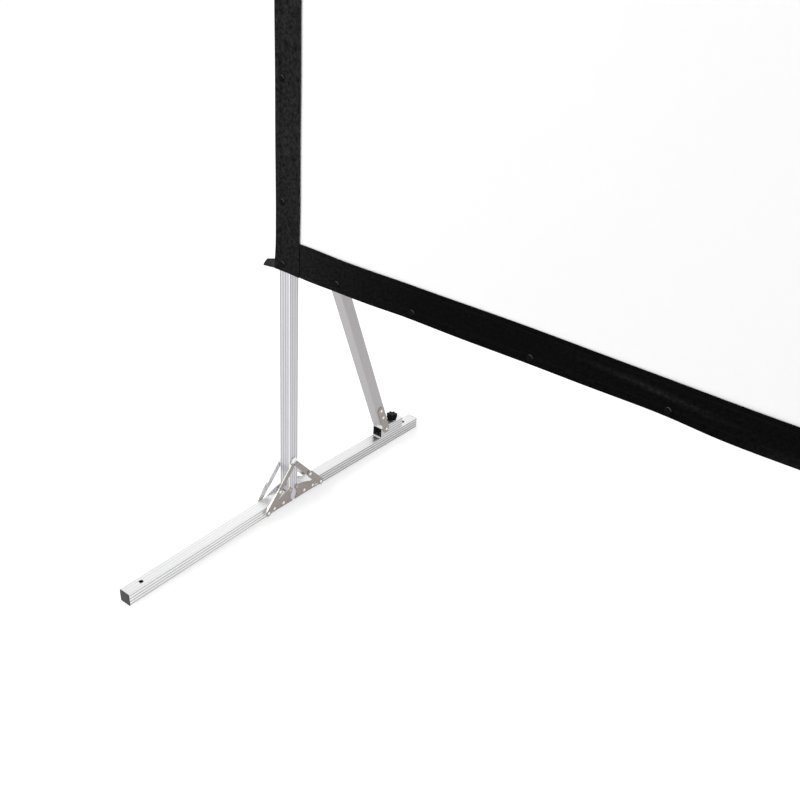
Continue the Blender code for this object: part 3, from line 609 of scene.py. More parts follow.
brace_run = Vector(JOINTS["left_shoe_turn"]["pos_m"]) - Vector(JOINTS["left_brace_swing"]["pos_m"])
brace_lean = math.atan2(brace_run.y, -brace_run.z)


def fluted_metal(name, colour, stretch, kind, in_sides, in_flats, **shares):
    """Anodised fluted tube, with its own painted shade in the flutes and painted highlight on the corners."""
    return metal("fluted_aluminium_" + name, colour, ANODISED_WORN_AND_HIGHLIGHT, ANODISED_ROUGHNESS, stretch,
                 tone=fluted_shade_and_highlight(kind, in_sides, in_flats, **shares))


# The shares of the feet and the shoe also paint light or shade on their side faces and flats: lighter on the front
# foot, darker on the rear foot and the shoe.
fluted = {
    "level": fluted_metal("level", ANODISED, ALONG_X, "level", 0.5, 0.5),
    "front foot": fluted_metal("front_foot", ANODISED_FOOT, ALONG_Y, "foot", 0.66, -0.05, sides=-0.12),
    "rear foot": fluted_metal("rear_foot", ANODISED_REAR, ALONG_Y, "foot", 0.80, 0.02, sides=0.06),
    "shoe": fluted_metal("shoe", ANODISED_REAR, ALONG_Y, "shoe", 0.60, 0.02, sides=0.06),
    "upright": fluted_metal("upright", ANODISED_UPRIGHT_SHADED, ALONG_Z, "upright", 0.40, 0.42, corners=1.0),
}
brushed = metal("brushed_aluminium_brace", PLAIN, PLAIN_WORN, 0.40, ALONG_Z, turn=(-brace_lean, 0, 0),
                grain=0.4, lines=0.12, tone=painted_side_shade(PLAIN_SIDE_SHADE))
core_metal = metal("cast_aluminium_core", CORE, ANODISED_WORN_AND_HIGHLIGHT, 0.45, (400, 400, 400), grain=0.1)


def plated(name, rim_highlight_colour):
    """Plated pressed steel, with a painted highlight on the rims of its sheet and painted reflected light on its
    inner faces.
    """
    return metal(name, STEEL, STEEL_WORN, 0.42, (480, 480, 480), grain=1.1, marks=0.4, wear=0.8,
                 wear_width=0.0007, tone=inner_light_and_rim_highlight(STEEL_INNER_LIGHT, rim_highlight_colour))


steel = plated("plated_pressed_steel", STEEL_RIM_HIGHLIGHT)
flanged_steel = plated("plated_flanged_steel", FLANGE_HIGHLIGHT)
rivet_metal = metal("bright_rivet_metal", RIVET, RIVET_WORN, 0.30, (500, 500, 500), grain=0.1)
metals = (*fluted.values(), brushed, core_metal, steel, flanged_steel, rivet_metal)
print("metals:", ", ".join(finish.name for finish in metals))

# %% [markdown]
# ## Moulded plastics
#
# The star knob, the end caps and the plugs are moulded with a spark-eroded texture. It is a fine,
# even grain, so a small noise feeds the bump and breaks the roughness up. The caps are a dark grey
# and the knob is black. The caps of the press studs are black too, and a highlight is painted on the
# upper right of their rims, which is the thin bright arc that one sees on each of them from above.

# %% Build a moulded plastic
# Colour of the painted highlight on the rims of the press studs.
CRESCENT_HIGHLIGHT = (0.10, 0.10, 0.103)
HIGHLIGHT_ASIDE, HIGHLIGHT_START, HIGHLIGHT_GAIN = 0.6, 0.40, 2.5
RUBBED_GAIN = 2.2
SPECKLE = 0.2
SPARK_DEPTH = 0.0001


def plastic(name, colour, roughness, specular, grain_size=1400, depth=0.25, crescent_highlight=0.0):
    """A moulded plastic. Its last argument is how much painted highlight lies where the surface looks up and to
    the right.
    """
    material, tree, shader = new_finish(name)
    shader.inputs["Specular IOR Level"].default_value = specular
    grain = tree.nodes.new("ShaderNodeTexNoise")
    grain.inputs["Scale"].default_value = grain_size
    grain.inputs["Detail"].default_value = 2
    tree.links.new(object_place(tree), grain.inputs["Vector"])
    cloud = add_group(tree, handling_marks, Scale=60, Amount=0.5)
    edges = add_group(tree, worn_edges, Width=0.0006, Amount=0.35)
    plain = shifted_colour(tree, colour, cloud.outputs["Shade"])
    wear_and_highlight = mixed(tree, edges.outputs["Mask"], plain, tuple(channel * RUBBED_GAIN for channel in colour))
    normal = facing(tree, "Normal")
    # Painted highlight where the surface looks up and to the right, towards the light.
    leaning = math_node(tree, "MULTIPLY_ADD", normal["X"], HIGHLIGHT_ASIDE, normal["Z"])
    highlighted = math_node(tree, "MULTIPLY", math_node(tree, "SUBTRACT", leaning, HIGHLIGHT_START),
                        HIGHLIGHT_GAIN * crescent_highlight)
    highlighted.node.use_clamp = True
    tree.links.new(mixed(tree, highlighted, wear_and_highlight, CRESCENT_HIGHLIGHT), shader.inputs["Base Color"])
    speckle = math_node(tree, "MULTIPLY", grain.outputs["Fac"], SPECKLE)
    tree.links.new(math_node(tree, "ADD", speckle, roughness - SPECKLE / 2), shader.inputs["Roughness"])
    add_bump(tree, shader, grain.outputs["Fac"], depth, SPARK_DEPTH)
    return material


knob_plastic = plastic("black_moulded_knob", (0.0040, 0.0040, 0.0045), 0.40, 0.08)
cap_plastic = plastic("grey_moulded_cap", (0.058, 0.055, 0.056), 0.55, 0.2)
snap_plastic = plastic("black_press_stud", (0.0060, 0.0060, 0.0064), 0.38, 0.01, grain_size=600, depth=0.05,
                       crescent_highlight=1.0)
print("plastics:", knob_plastic.name, cap_plastic.name, snap_plastic.name)

# %% [markdown]
# ## Cloth finishes
#
# The white projection cloth is dead matt, so that the picture looks the same from every seat. The
# border is black, coated and slightly velvety, to soak up stray light. Cloth gets its look from
# thread, from soft variation where it was handled, and from the thread of the seams, which is a
# little shinier than the cloth round it. Where the black border catches the light it looks grey, so
# each strip stores an attribute that says how much painted sheen, a lighter grey, it gets there.

# %% Build a cloth finish
CLOUD_SCALE, NAP_SCALE = 5, 150
WEAVE_SHADE, WEAVE_HEIGHT = 0.05, 0.2
THREAD_SMOOTHS = 0.25
CLOTH_DEPTH = 0.0003


def cloth_finish(name, colour, roughness, sheen, threads, thread_colour, weave_depth, cloud_amount,
                 nap_amount=0.0, painted_sheen_colour=None):
    """A woven cloth with sewn rows. Where it has painted sheen it takes the lighter sheen colour, if it has one.
    """
    material, tree, shader = new_finish(name)
    shader.inputs["Specular IOR Level"].default_value = 0.03
    shader.inputs["Sheen Weight"].default_value = sheen
    shader.inputs["Sheen Roughness"].default_value = 0.5
    weave = add_group(tree, plain_weave, Threads=threads)
    cloud = add_group(tree, handling_marks, Scale=CLOUD_SCALE, Amount=cloud_amount)
    nap = add_group(tree, handling_marks, Scale=NAP_SCALE, Amount=nap_amount)
    rows = add_group(tree, stitch_rows)
    thread = math_node(tree, "MULTIPLY", weave.outputs["Shade"], WEAVE_SHADE)
    shade = math_node(tree, "ADD", thread, cloud.outputs["Shade"])
    shade = math_node(tree, "ADD", shade, nap.outputs["Shade"])
    plain = shifted_colour(tree, colour, shade)
    # Painted sheen: a lighter grey where the stored share says so.
    if painted_sheen_colour:
        painted_sheen = tree.nodes.new("ShaderNodeAttribute")
        painted_sheen.attribute_name = "painted_sheen"
        plain = mixed(tree, painted_sheen.outputs["Fac"], plain, shifted_colour(tree, painted_sheen_colour, shade))
    sewn = mixed(tree, rows.outputs["Mask"], plain, thread_colour)
    tree.links.new(sewn, shader.inputs["Base Color"])
    rough = math_node(tree, "MULTIPLY", rows.outputs["Mask"], -THREAD_SMOOTHS)
    tree.links.new(math_node(tree, "ADD", rough, roughness), shader.inputs["Roughness"])
    woven = math_node(tree, "MULTIPLY", weave.outputs["Shade"], WEAVE_HEIGHT)
    add_bump(tree, shader, math_node(tree, "ADD", woven, rows.outputs["Mask"]), weave_depth, CLOTH_DEPTH)
    return material


white_finish = cloth_finish("white_projection_cloth", (0.98, 0.98, 0.982), 0.9, 0.0, 3800,
                            (0.93, 0.93, 0.93), 0.10, 0.010)
# The last colour is the lighter grey of the painted sheen on the border.
border_finish = cloth_finish("black_border_cloth", (0.0026, 0.0026, 0.0027), 0.88, 0.003, 2600,
                             (0.008, 0.008, 0.0085), 0.30, 0.6, 4.0, (0.0165, 0.0165, 0.0174))
# Painted light: the tab's black is about ten times lighter than the border's, for the light that its leaning face
# catches.
tab_painted_light_finish = cloth_finish("black_pull_tab_cloth", (0.028, 0.0273, 0.031), 0.88, 0.04, 2600,
                          (0.030, 0.030, 0.032), 0.30, 0.5, 2.0)
print("cloths:", ", ".join(finish.name for finish in (white_finish, border_finish, tab_painted_light_finish)))

# %% [markdown]
# ## Paint and ease the rigid pieces
#
# No real edge is perfectly sharp: extrusions come with a small radius, and pressed plates are
# tumbled. A bevel of a few tenths of a millimetre is too small to see as a shape, but it
# catches a bright line of light along the edge, and that line is what makes metal look like metal.
# The rigid meshes are only welded and beveled by modifiers, so their own points stay as they are.

# %% Give each rigid piece its finish
EASE = 0.0003
EASE_ANGLE = math.radians(42)
SLOT_OF = {row["node"]: row["material_slot"] for row in frame["record"]["subparts"]}


def finish_of(node):
    """The finish of a rigid piece, from its material and its name."""
    slot = SLOT_OF[node]
    if slot == "fluted_aluminium":
        if node.endswith("_foot_tube"):
            return fluted["front foot" if "_front_" in node else "rear foot"]
        if node.endswith("_brace_shoe"):
            return fluted["shoe"]
        return fluted["upright"] if node.endswith(("_leg_post", "_side_rail")) else fluted["level"]
    if slot == "plain_aluminium":
        return brushed if node.endswith("_brace_tube") else core_metal
    if "_lower_stay_" in node:
        return flanged_steel
    return {"nickelled_steel": steel, "grey_plastic": cap_plastic, "black_plastic": knob_plastic,
            "white_cloth": white_finish, "black_cloth": border_finish}[slot]


def ease_edges(piece):
    """Welds the loose corners of an imported mesh and rounds its edges a little."""
    weld = piece.modifiers.new("weld", "WELD")
    weld.merge_threshold = 0.00001
    bevel = piece.modifiers.new("ease", "BEVEL")
    bevel.width = EASE
    bevel.segments = 2
    bevel.limit_method = "ANGLE"
    bevel.angle_limit = EASE_ANGLE
    bevel.harden_normals = True


for node, piece in nodes.items():
    piece.data.materials.clear()
    piece.data.materials.append(finish_of(node))
    if SLOT_OF[node] not in ("white_cloth", "black_cloth"):
        ease_edges(piece)
print("painted", len(nodes), "rigid pieces")

# %% [markdown]
# ## Turned shapes
#
# Rivets, stud caps, screws and rims are all round, so they are made as on a lathe: a short outline
# of (radius, height) pairs is spun round a line, one ring of points for each pair, and faces join
# each ring to the next. A radius of zero makes a ring of one point, which closes the shape.

# %% Spin an outline, and make a piece of it
def ring_place(middle, aim, reach, turn, height):
    """A place beside a line: so far from it, at an angle, and so high along it."""
    return middle + aim @ Vector((reach * math.cos(turn), reach * math.sin(turn), height))


def join_rings(shape, rings):
    """Faces between each ring of points and the next."""
    for low, high in zip(rings, rings[1:]):
        steps = max(len(low), len(high))
        for i in range(steps):
            after = (i + 1) % steps
            if steps == 1:
                continue
            if len(high) == 1:
                shape.faces.new((low[i], low[after], high[0]))
            elif len(low) == 1:
                shape.faces.new((low[0], high[after], high[i]))
            else:
                shape.faces.new((low[i], low[after], high[after], high[i]))


def turned(shape, profile, middle, outward, steps):
    """Spins (radius, height) pairs round a line through middle that points outward."""
    aim = outward.to_track_quat("Z", "Y").to_matrix()
    rings = []
    for radius, height in profile:
        turns = [2 * math.pi * i / steps for i in range(steps if radius else 1)]
        rings.append([shape.verts.new(ring_place(middle, aim, radius, turn, height)) for turn in turns])
    join_rings(shape, rings)


def as_piece(name, shape, finish, body, crease=30):
    """Turns a bmesh into a smooth-shaded object that rides on a body."""
    bmesh.ops.recalc_face_normals(shape, faces=shape.faces)
    mesh = bpy.data.meshes.new(name)
    shape.to_mesh(mesh)
    shape.free()
    mesh.shade_smooth()
    mesh.set_sharp_from_angle(angle=math.radians(crease))
    mesh.materials.append(finish)
    piece = bpy.data.objects.new(name, mesh)
    bpy.context.scene.collection.objects.link(piece)
    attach(piece, body)
    return piece


BODY_OF = {node: body for body, members in frame["record"]["behaviour"]["bodies"].items()
           for node in members}
print(len(BODY_OF), "rigid pieces know their body")

# %% [markdown]
# ## Rivets
#
# The straps and plates are held by solid rivets with low domed heads, brighter than the plates. One
# outline serves them all, scaled to the height that there is room for, and it stands a hair proud of
# the plain disc that it covers.

# %% Rivet heads
HEAD_RADIUS = 0.0043
HEAD_PROOF = 0.00012
HEAD_STEPS = 20


def rivet_heads(node, leg, finish):
    """Domed heads over the plain discs on the outer face of one plate or strap."""
    base, top = face_levels(node, 0, leg_x[leg])[-2:]
    rise = top - base + HEAD_PROOF
    crown = rise + HEAD_PROOF
    profile = ((0, 0), (HEAD_RADIUS, 0), (HEAD_RADIUS, rise * 0.35), (HEAD_RADIUS * 0.9, rise * 0.8),
               (HEAD_RADIUS * 0.72, rise), (HEAD_RADIUS * 0.3, crown), (0, crown))
    shape = bmesh.new()
    middles = head_middles(node, 0, top, leg_x[leg])
    for middle in middles:
        side = math.copysign(1, middle.x - leg_x[leg])
        start = Vector((leg_x[leg] + side * base, middle.y, middle.z))
        turned(shape, profile, start, Vector((side, 0, 0)), HEAD_STEPS)
    as_piece(node + "_rivets", shape, finish, BODY_OF[node])
    return len(middles)


made = 0
for leg in LEGS:
    for place in ("inner", "outer"):
        for half in ("front", "rear"):
            made += rivet_heads(f"{leg}_{half}_hinge_plate_{place}", leg, rivet_metal)
            made += rivet_heads(f"{leg}_{half}_lower_stay_{place}", leg, rivet_metal)
            made += rivet_heads(f"{leg}_{half}_upper_stay_{place}", leg, steel)
        made += rivet_heads(f"{leg}_brace_link_{place}", leg, rivet_metal)
print(made, "domed rivet heads")

# %% [markdown]
# ## Rims of the foot holes
#
# Each foot half has a hole through its top wall near the end, for a ground peg. A black rubber rim
# lines it, so that the peg doesn't scratch the tube. The rim is a turned ring that lies just on the top
# face. The hole is found on the mesh as the round group of points in the middle of that face.

# %% Hole rims
RIM_RADIUS = 0.0053
RIM_RISE = 0.0003
RIM_EASE = 0.0003
RIM_DEPTH = 0.0015
RIM_STEPS = 28
HOLE_REACH = 0.005
HOLE_FROM, HOLE_MARGIN = 0.8, 0.01
TOP_WALL = 0.6
HAIR = 0.0001


def hole_points(node, leg):
    """The points of a foot half that lie near its peg hole: high up, near its end and in its middle."""
    return [vertex.co for vertex in nodes[node].data.vertices
            if abs(vertex.co.x - leg_x[leg]) < HOLE_REACH and vertex.co.z > tube * TOP_WALL
            and foot_reach * HOLE_FROM < abs(vertex.co.y) < foot_reach - HOLE_MARGIN]


def hole_rim(node, leg):
    """A rubber ring round the peg hole of a foot half."""
    foot_low, foot_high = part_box(node)
    aim = Vector((0, math.copysign(math.sin(slope), foot_high.y + foot_low.y), math.cos(slope)))
    near = hole_points(node, leg)
    top = max(point.dot(aim) for point in near)
    ring = [point for point in near if point.dot(aim) > top - HAIR]
    middle = sum(ring, Vector()) / len(ring)
    radius = sum((point - middle).length for point in ring) / len(ring)
    inside, lining = radius - 2 * HAIR, radius - HAIR
    outline = ((inside, -RIM_DEPTH), (inside, RIM_RISE * 0.6), (inside + RIM_EASE, RIM_RISE),
               (RIM_RADIUS - RIM_EASE, RIM_RISE), (RIM_RADIUS, 0.0), (lining, -HAIR),
               (lining, -RIM_DEPTH), (inside, -RIM_DEPTH))
    shape = bmesh.new()
    turned(shape, outline, middle, aim, RIM_STEPS)
    bmesh.ops.remove_doubles(shape, verts=shape.verts, dist=0.000001)
    as_piece(node.replace("_foot_tube", "_hole_rim"), shape, cap_plastic, BODY_OF[node],
             crease=50)
    return radius, len(ring)


for leg in LEGS:
    for half in ("front", "rear"):
        radius, count = hole_rim(f"{leg}_{half}_foot_tube", leg)
print(f"rims {RIM_RADIUS * 2000:.1f} mm across, holes {radius * 2000:.1f} mm, found from {count} points")

# %% [markdown]
# ## The star knob
#
# The knob clamps the brace's shoe to the foot. It is moulded, with seven finger lobes, a soft edge
# all round and a shallow dish on top. The lobes are a circle whose radius rises and falls, and the
# whole knob is that outline repeated at several heights, drawn in as it nears the top.

# %% Star knobs
KNOB_LOBES = 7
KNOB_WAVE = 0.0026
KNOB_SKIRT = 0.0008
KNOB_GAP = 0.001
KNOB_POINTS = KNOB_LOBES * 14
KNOB_ROUND = 0.0035
KNOB_CURVE = 5
LOWER_EASE, LOWER_RISE = 0.0004, 0.0016
DISH_EDGE, DISH_DEPTH = 0.0008, 0.0011
SCREW_RADIUS = 0.0029
SCREW_STEPS = 16


def knob_ring(shape, middle, aim, radius, wave, height):
    """One outline of the knob, with its lobes, at one height."""
    ring = []
    for i in range(KNOB_POINTS):
        turn = 2 * math.pi * i / KNOB_POINTS
        reach = radius + wave * math.cos(KNOB_LOBES * turn)
        ring.append(shape.verts.new(ring_place(middle, aim, reach, turn, height)))
    return ring


def star_knob(leg):
    """The knob and its screw, fitted to the plain knob that they take the place of."""
    node = f"{leg}_brace_knob"
    joint = JOINTS[f"{leg}_knob_turn"]
    middle, axis = Vector(joint["pos_m"]), Vector(joint["axis"])
    points = [vertex.co - middle for vertex in nodes[node].data.vertices]
    top = max(point.dot(axis) for point in points)
    reach = max((point - axis * point.dot(axis)).length for point in points)
    radius = reach - KNOB_WAVE
    aim = Matrix(((1, 0, 0), (0, axis.z, axis.y), (0, -axis.y, axis.z))).to_3x3()
    under = KNOB_SKIRT + KNOB_GAP
    rows = [(radius * 0.45, 0, KNOB_SKIRT * 0.5), (radius * 0.62, 0, under),
            (radius - KNOB_ROUND * 0.6, KNOB_WAVE, under),
            (radius - LOWER_EASE, KNOB_WAVE, under + LOWER_RISE)]
    for i in range(KNOB_CURVE + 1):
        turn = math.radians(90 * i / KNOB_CURVE)
        rows.append((radius - KNOB_ROUND * (1 - math.cos(turn)), KNOB_WAVE,
                     top - KNOB_ROUND * (1 - math.sin(turn))))
    dish = radius * 0.58
    rows += [(dish, KNOB_WAVE * 0.4, top), (dish - DISH_EDGE, KNOB_WAVE * 0.1, top - DISH_EDGE),
             (dish * 0.45, 0, top - DISH_DEPTH)]
    shape = bmesh.new()
    rings = [knob_ring(shape, middle, aim, *row) for row in rows]
    join_rings(shape, rings)
    shape.faces.new(rings[0])
    shape.faces.new(rings[-1])
    knob = as_piece(f"{leg}_star_knob", shape, knob_plastic, BODY_OF[node], crease=50)
    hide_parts(node)
    screw = bmesh.new()
    low = min(point.dot(axis) for point in points)
    outline = ((0, low), (SCREW_RADIUS, low), (SCREW_RADIUS, KNOB_SKIRT), (0, KNOB_SKIRT))
    turned(screw, outline, middle, axis, SCREW_STEPS)
    as_piece(f"{leg}_knob_screw", screw, rivet_metal, BODY_OF[node])
    return top, reach


for leg in LEGS:
    top, reach = star_knob(leg)
    print(f"{leg} knob: {top * 1000:.1f} mm high, {reach * 2000:.1f} mm across")

# %% [markdown]
# ## How the cloth hangs on its studs
#
# Stretched cloth is never quite flat. The studs hold it to the tube, and between two studs it
# stands off a little and its hem is drawn in. Away from the frame, broad shallow waves remain. A
# simulation would spend minutes to find these few millimetres, so they are written as one function
# that every layer shares. Layers that share it cannot cut through each other.

# %% The shape of stretched cloth
HEM_LIFT = 0.0022
EDGE_REACH = 0.055
BROAD_WAVE = 0.0035
BROAD_LENGTH = 0.75
BROAD_START = Vector((3.1, 0, 7.7))
BROAD_REACH = 0.35

level_places = sorted([leg_x["left"], *level_snaps, leg_x["right"]])


def between(place, places):
    """0 at each stud and 1 midway between two of them."""
    for start, end in zip(places, places[1:]):
        if start <= place <= end:
            return math.sin(math.pi * (place - start) / (end - start)) ** 2
    return 0.0


def edge_distances(x, z):
    """How far a place lies inside the level hems and inside the side hems."""
    return (max(0.0, min(z - border_bottom, border_top - z)), max(0.0, border_outer - abs(x)))


def lift(x, z):
    """How far the cloth stands off its flat plane, towards the audience."""
    from_level, from_side = edge_distances(x, z)
    hem = between(x, level_places) * math.exp(-from_level / EDGE_REACH)
    hem += between(z, side_snaps) * math.exp(-from_side / EDGE_REACH)
    inside = min(1.0, min(from_level, from_side) / BROAD_REACH)
    broad = 0.5 + 0.5 * noise.noise(Vector((x, 0, z)) / BROAD_LENGTH + BROAD_START)
    return HEM_LIFT * hem + BROAD_WAVE * broad * inside * inside


midway = (level_snaps[2] + level_snaps[3]) / 2
print(f"midway between two studs the hem stands off {lift(midway, border_bottom) * 1000:.1f} mm")

# %% [markdown]
# ## A sheet as a grid
#
# Every cloth piece is made the same way: a grid of points whose places come from a function, given a
# thickness by a modifier. The grid lines are set close together where a seam or a hem needs a step,
# and wide apart where the cloth is plain. Two attributes are stored as it is built: the place that
# the stitches need, and how much painted sheen the cloth takes there. The white sheet is the first and plainest.

# %% Build a cloth piece
SHEET_STEP = 0.020


def spread(start, end, step):
    """Evenly spaced values from start to end, about a step apart."""
    count = max(1, round(abs(end - start) / step))
    return [start + (end - start) * i / count for i in range(count + 1)]


def cloth_piece(name, alongs, acrosses, place, finish, edges=None, brushed=None):
    """A cloth piece on a grid. place gives a point, and edges its distances from the two edges."""
    shape = bmesh.new()
    rows = [[shape.verts.new(place(a, b)) for b in acrosses] for a in alongs]
    for low, high in zip(rows, rows[1:]):
        for i in range(len(acrosses) - 1):
            shape.faces.new((low[i], high[i], high[i + 1], low[i + 1]))
    shape.normal_update()
    if sum(face.normal.y for face in shape.faces) > 0:
        bmesh.ops.reverse_faces(shape, faces=shape.faces)
    mesh = bpy.data.meshes.new(name)
    shape.to_mesh(mesh)
    shape.free()
    mesh.shade_smooth()
    mesh.materials.append(finish)
    stored = mesh.attributes.new("cloth_place", "FLOAT_VECTOR", "POINT")
    values = []
    for a in alongs:
        for b in acrosses:
            outer, inner = edges(b) if edges else (1.0, 1.0)
            values += [a, outer, inner]
    stored.data.foreach_set("vector", values)
    if brushed:
        stored = mesh.attributes.new("painted_sheen", "FLOAT", "POINT")
        stored.data.foreach_set("value", [brushed(a, b) for a in alongs for b in acrosses])
    piece = bpy.data.objects.new(name, mesh)
    bpy.context.scene.collection.objects.link(piece)
    thick = piece.modifiers.new("thickness", "SOLIDIFY")
    thick.thickness = cloth
    thick.offset = -1
    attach(piece, "frame")
    return piece


def white_point(x, z):
    return Vector((x, sheet_low.y - lift(x, z), z))


white = cloth_piece("white_sheet", spread(sheet_low.x, sheet_high.x, SHEET_STEP),
                    spread(sheet_low.z, sheet_high.z, SHEET_STEP), white_point, white_finish)
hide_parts("white_screen_cloth")

# %% [markdown]
# ## The black border
#
# The border is four strips. Each has a wide hem folded to the back along its outer edge and a
# narrow seam along the white cloth, both sewn with one row of thread. The two level strips lie on the
# white cloth, and the side strips lie over their ends. A profile across the strip gives the steps:
# the doubled hem stands a little proud, and the stitching pulls the cloth down along its row.

# %% Profile and edges of a strip
HEM = 0.018
SEAM = 0.012
DOUBLE = 0.0005
PULL = 0.0002
ROW = 0.0014
EDGE_LINE = 0.0007
EDGE_ROUND = 0.0025
EDGE_SHARE = 0.3
ROW_STEP = 0.0004
PLAIN_STEP = 0.006

# How far the lower hem and the seam run above their straight lines, by distance from the left post.
LOWER_EDGE = ((-0.02, 0.0), (0.158, -0.0020), (0.370, 0.0017), (0.595, 0.0033), (0.900, 0.0058),
              (1.070, 0.0004), (1.40, 0.0030), (1.75, -0.0010), (2.10, 0.0035), (2.45, -0.0012), (2.79, 0.0))
INNER_EDGE = ((-0.02, 0.0), (0.060, 0.0015), (0.190, -0.0021), (0.370, -0.0003), (0.600, 0.0017),
              (1.150, -0.0022), (1.60, 0.0012), (2.00, -0.0010), (2.40, 0.0015), (2.79, 0.0))
FLARE = 0.0050
FLARE_REACH = 0.050


def along_table(table, place):
    """A smooth line through (place, value) pairs."""
    for (start, first), (end, second) in zip(table, table[1:]):
        if start <= place <= end:
            share = (1 - math.cos(math.pi * (place - start) / (end - start))) / 2
            return first + (second - first) * share
    return table[0][1] if place < table[0][0] else table[-1][1]


def across_profile(outer, inner):
    """How far the front of a strip stands proud, from its distances to the two edges."""
    if outer < HEM - ROW:
        return DOUBLE * min(1.0, EDGE_SHARE + outer / EDGE_ROUND)
    if outer < HEM + ROW:
        return DOUBLE / 2 - PULL
    if inner < SEAM - ROW:
        return DOUBLE * min(1.0, EDGE_SHARE + inner / EDGE_ROUND)
    return DOUBLE / 2 - PULL if inner < SEAM + ROW else 0.0


def fold_lines(fold):
    """Grid lines from an edge to just past its row of stitches."""
    return [0, EDGE_LINE, EDGE_ROUND, fold / 2, fold - ROW - ROW_STEP, fold - ROW, fold, fold + ROW,
            fold + ROW + ROW_STEP]


def across_lines(width):
    """Grid lines across a strip: close together at its edges, hem and seam."""
    middle = spread(HEM + PLAIN_STEP, width - SEAM - PLAIN_STEP, PLAIN_STEP)
    return fold_lines(HEM) + middle + [width - line for line in reversed(fold_lines(SEAM))]


print(f"hem {HEM * 1000:.0f} mm and seam {SEAM * 1000:.0f} mm wide, {DOUBLE * 1000:.1f} mm proud")

# %% [markdown]
# ### Level strips
#
# The lower hem wanders by a few millimetres, as the photograph of the real one shows: it is low at the
# first stud and drawn up further along. The two tables above hold that line for the hem and for the
# seam, measured along the strip. The upper strip takes the same lines, swapped end for end. One soft
# crease runs along the lower strip where it was folded for storage, with a highlight painted along it.
# Painted sheen also lightens the strips near the corners, and one patch at the hem is lighter grey.

# %% Level strips
STRIP_END, STRIP_STEP = 0.004, 0.010
CREASE = 0.0016
CREASE_PLACE, CREASE_LENGTH = -0.47, 0.16
CREASE_MIDDLE, CREASE_RUN, CREASE_WIDTH = 0.046, 0.010, 0.007
# Shares of painted sheen along the crease, in a patch at the hem and near the corners.
CREASE_SHEEN = 0.70
PATCH_PLACE, PATCH_LENGTH, PATCH_HEIGHT = -0.20, 0.08, 0.016
PATCH_SHEEN = 0.35
CORNER_SHEEN = 0.60
CORNER_REACH = 0.36
CORNER_FADE = 1.5
level_plane = face_levels("bottom_border_strip", 1)[1]
level_width = image_bottom - border_bottom


def crease(x, across):
    """How far the crease stands proud. It runs down towards the hem."""
    along = (x - CREASE_PLACE) / CREASE_LENGTH
    middle = CREASE_MIDDLE - CREASE_RUN * along
    return CREASE * math.exp(-along * along) * math.exp(-((across - middle) / CREASE_WIDTH) ** 2)


def corner_share(distance):
    """1 at a corner of the border, falling to 0 at a set distance along a strip."""
    return max(0.0, 1 - distance / CORNER_REACH) ** CORNER_FADE


def from_post(x, mirrored):
    """The distance from the post at which the tables of the hem and the seam are read."""
    return leg_x["right"] - x if mirrored else x - leg_x["left"]


def level_strip(name, node, hem_z, inward, mirrored):
    """A level strip, built inward from its hem."""
    def point(x, across):
        place = from_post(x, mirrored)
        share = across / level_width
        wander = along_table(LOWER_EDGE, place) * (1 - share) + along_table(INNER_EDGE, place) * share
        z = hem_z + inward * (across + wander)
        proud = across_profile(across, level_width - across)
        if not mirrored:
            proud += crease(x, across)
        return Vector((x, -level_plane - lift(x, z) - proud, z))

    # Painted sheen: a lighter grey along the crease, near the corners and in one patch at the hem.
    def brushed(x, across):
        corner = CORNER_SHEEN * corner_share(border_inner - abs(x))
        if mirrored:
            return corner
        folded = CREASE_SHEEN * (crease(x, across) / CREASE) ** 2
        along = (x - PATCH_PLACE) / PATCH_LENGTH
        wear_and_highlight = PATCH_SHEEN * math.exp(-along * along - (across / PATCH_HEIGHT) ** 2)
        return max(folded, wear_and_highlight, corner)

    strip = cloth_piece(name, spread(-border_outer + STRIP_END, border_outer - STRIP_END, STRIP_STEP),
                        across_lines(level_width), point, border_finish,
                        edges=lambda across: (across, level_width - across), brushed=brushed)
    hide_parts(node)
    return strip


lower = level_strip("lower_border", "bottom_border_strip", border_bottom, 1, False)
upper = level_strip("upper_border", "top_border_strip", border_top, -1, True)
print(f"level strips {2 * border_outer:.3f} x {level_width:.4f} m")

# %% [markdown]
# ### Side strips
#
# A side strip is the same construction stood on end. Near the lower corner it flares outwards a
# little, because the pull tab there drags on it.

# %% Side strips
SIDE_PROUD = 0.0009
SIDE_DRAW = 0.0016
FOOT_REACH = 0.05
side_plane = face_levels("left_border_strip", 1)[1] + SIDE_PROUD
side_width = border_outer - border_inner


def side_strip(leg):
    """A side strip. Its foot follows the wandering hem of the level strip below it."""
    side = leg_side[leg]

    def point(z, across):
        share = across / side_width
        draw = SIDE_DRAW * between(z, side_snaps) * (1 - share)
        flare = FLARE * math.exp(-(((z - border_bottom) / FLARE_REACH) ** 2)) * (1 - share)
        x = side * (border_outer - across - draw + flare)
        place = from_post(x, side > 0)
        height = z + along_table(LOWER_EDGE, place) * max(0.0, 1 - (z - border_bottom) / FOOT_REACH)
        proud = across_profile(across, side_width - across)
        return Vector((x, -side_plane - lift(x, z) - proud, height))

    # Painted sheen: the side strips take the lighter grey all along, a little less near their ends.
    def brushed(z, across):
        near_end = corner_share(min(z - border_bottom, border_top - z))
        return 1 - (1 - CORNER_SHEEN) * near_end

    strip = cloth_piece(f"{leg}_border", spread(border_bottom, border_top, STRIP_STEP),
                        across_lines(side_width), point, border_finish,
                        edges=lambda across: (across, side_width - across), brushed=brushed)
    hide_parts(f"{leg}_border_strip")
    return strip


side_strips = {leg: side_strip(leg) for leg in LEGS}
print(f"side strips {side_width:.4f} x {border_top - border_bottom:.3f} m")

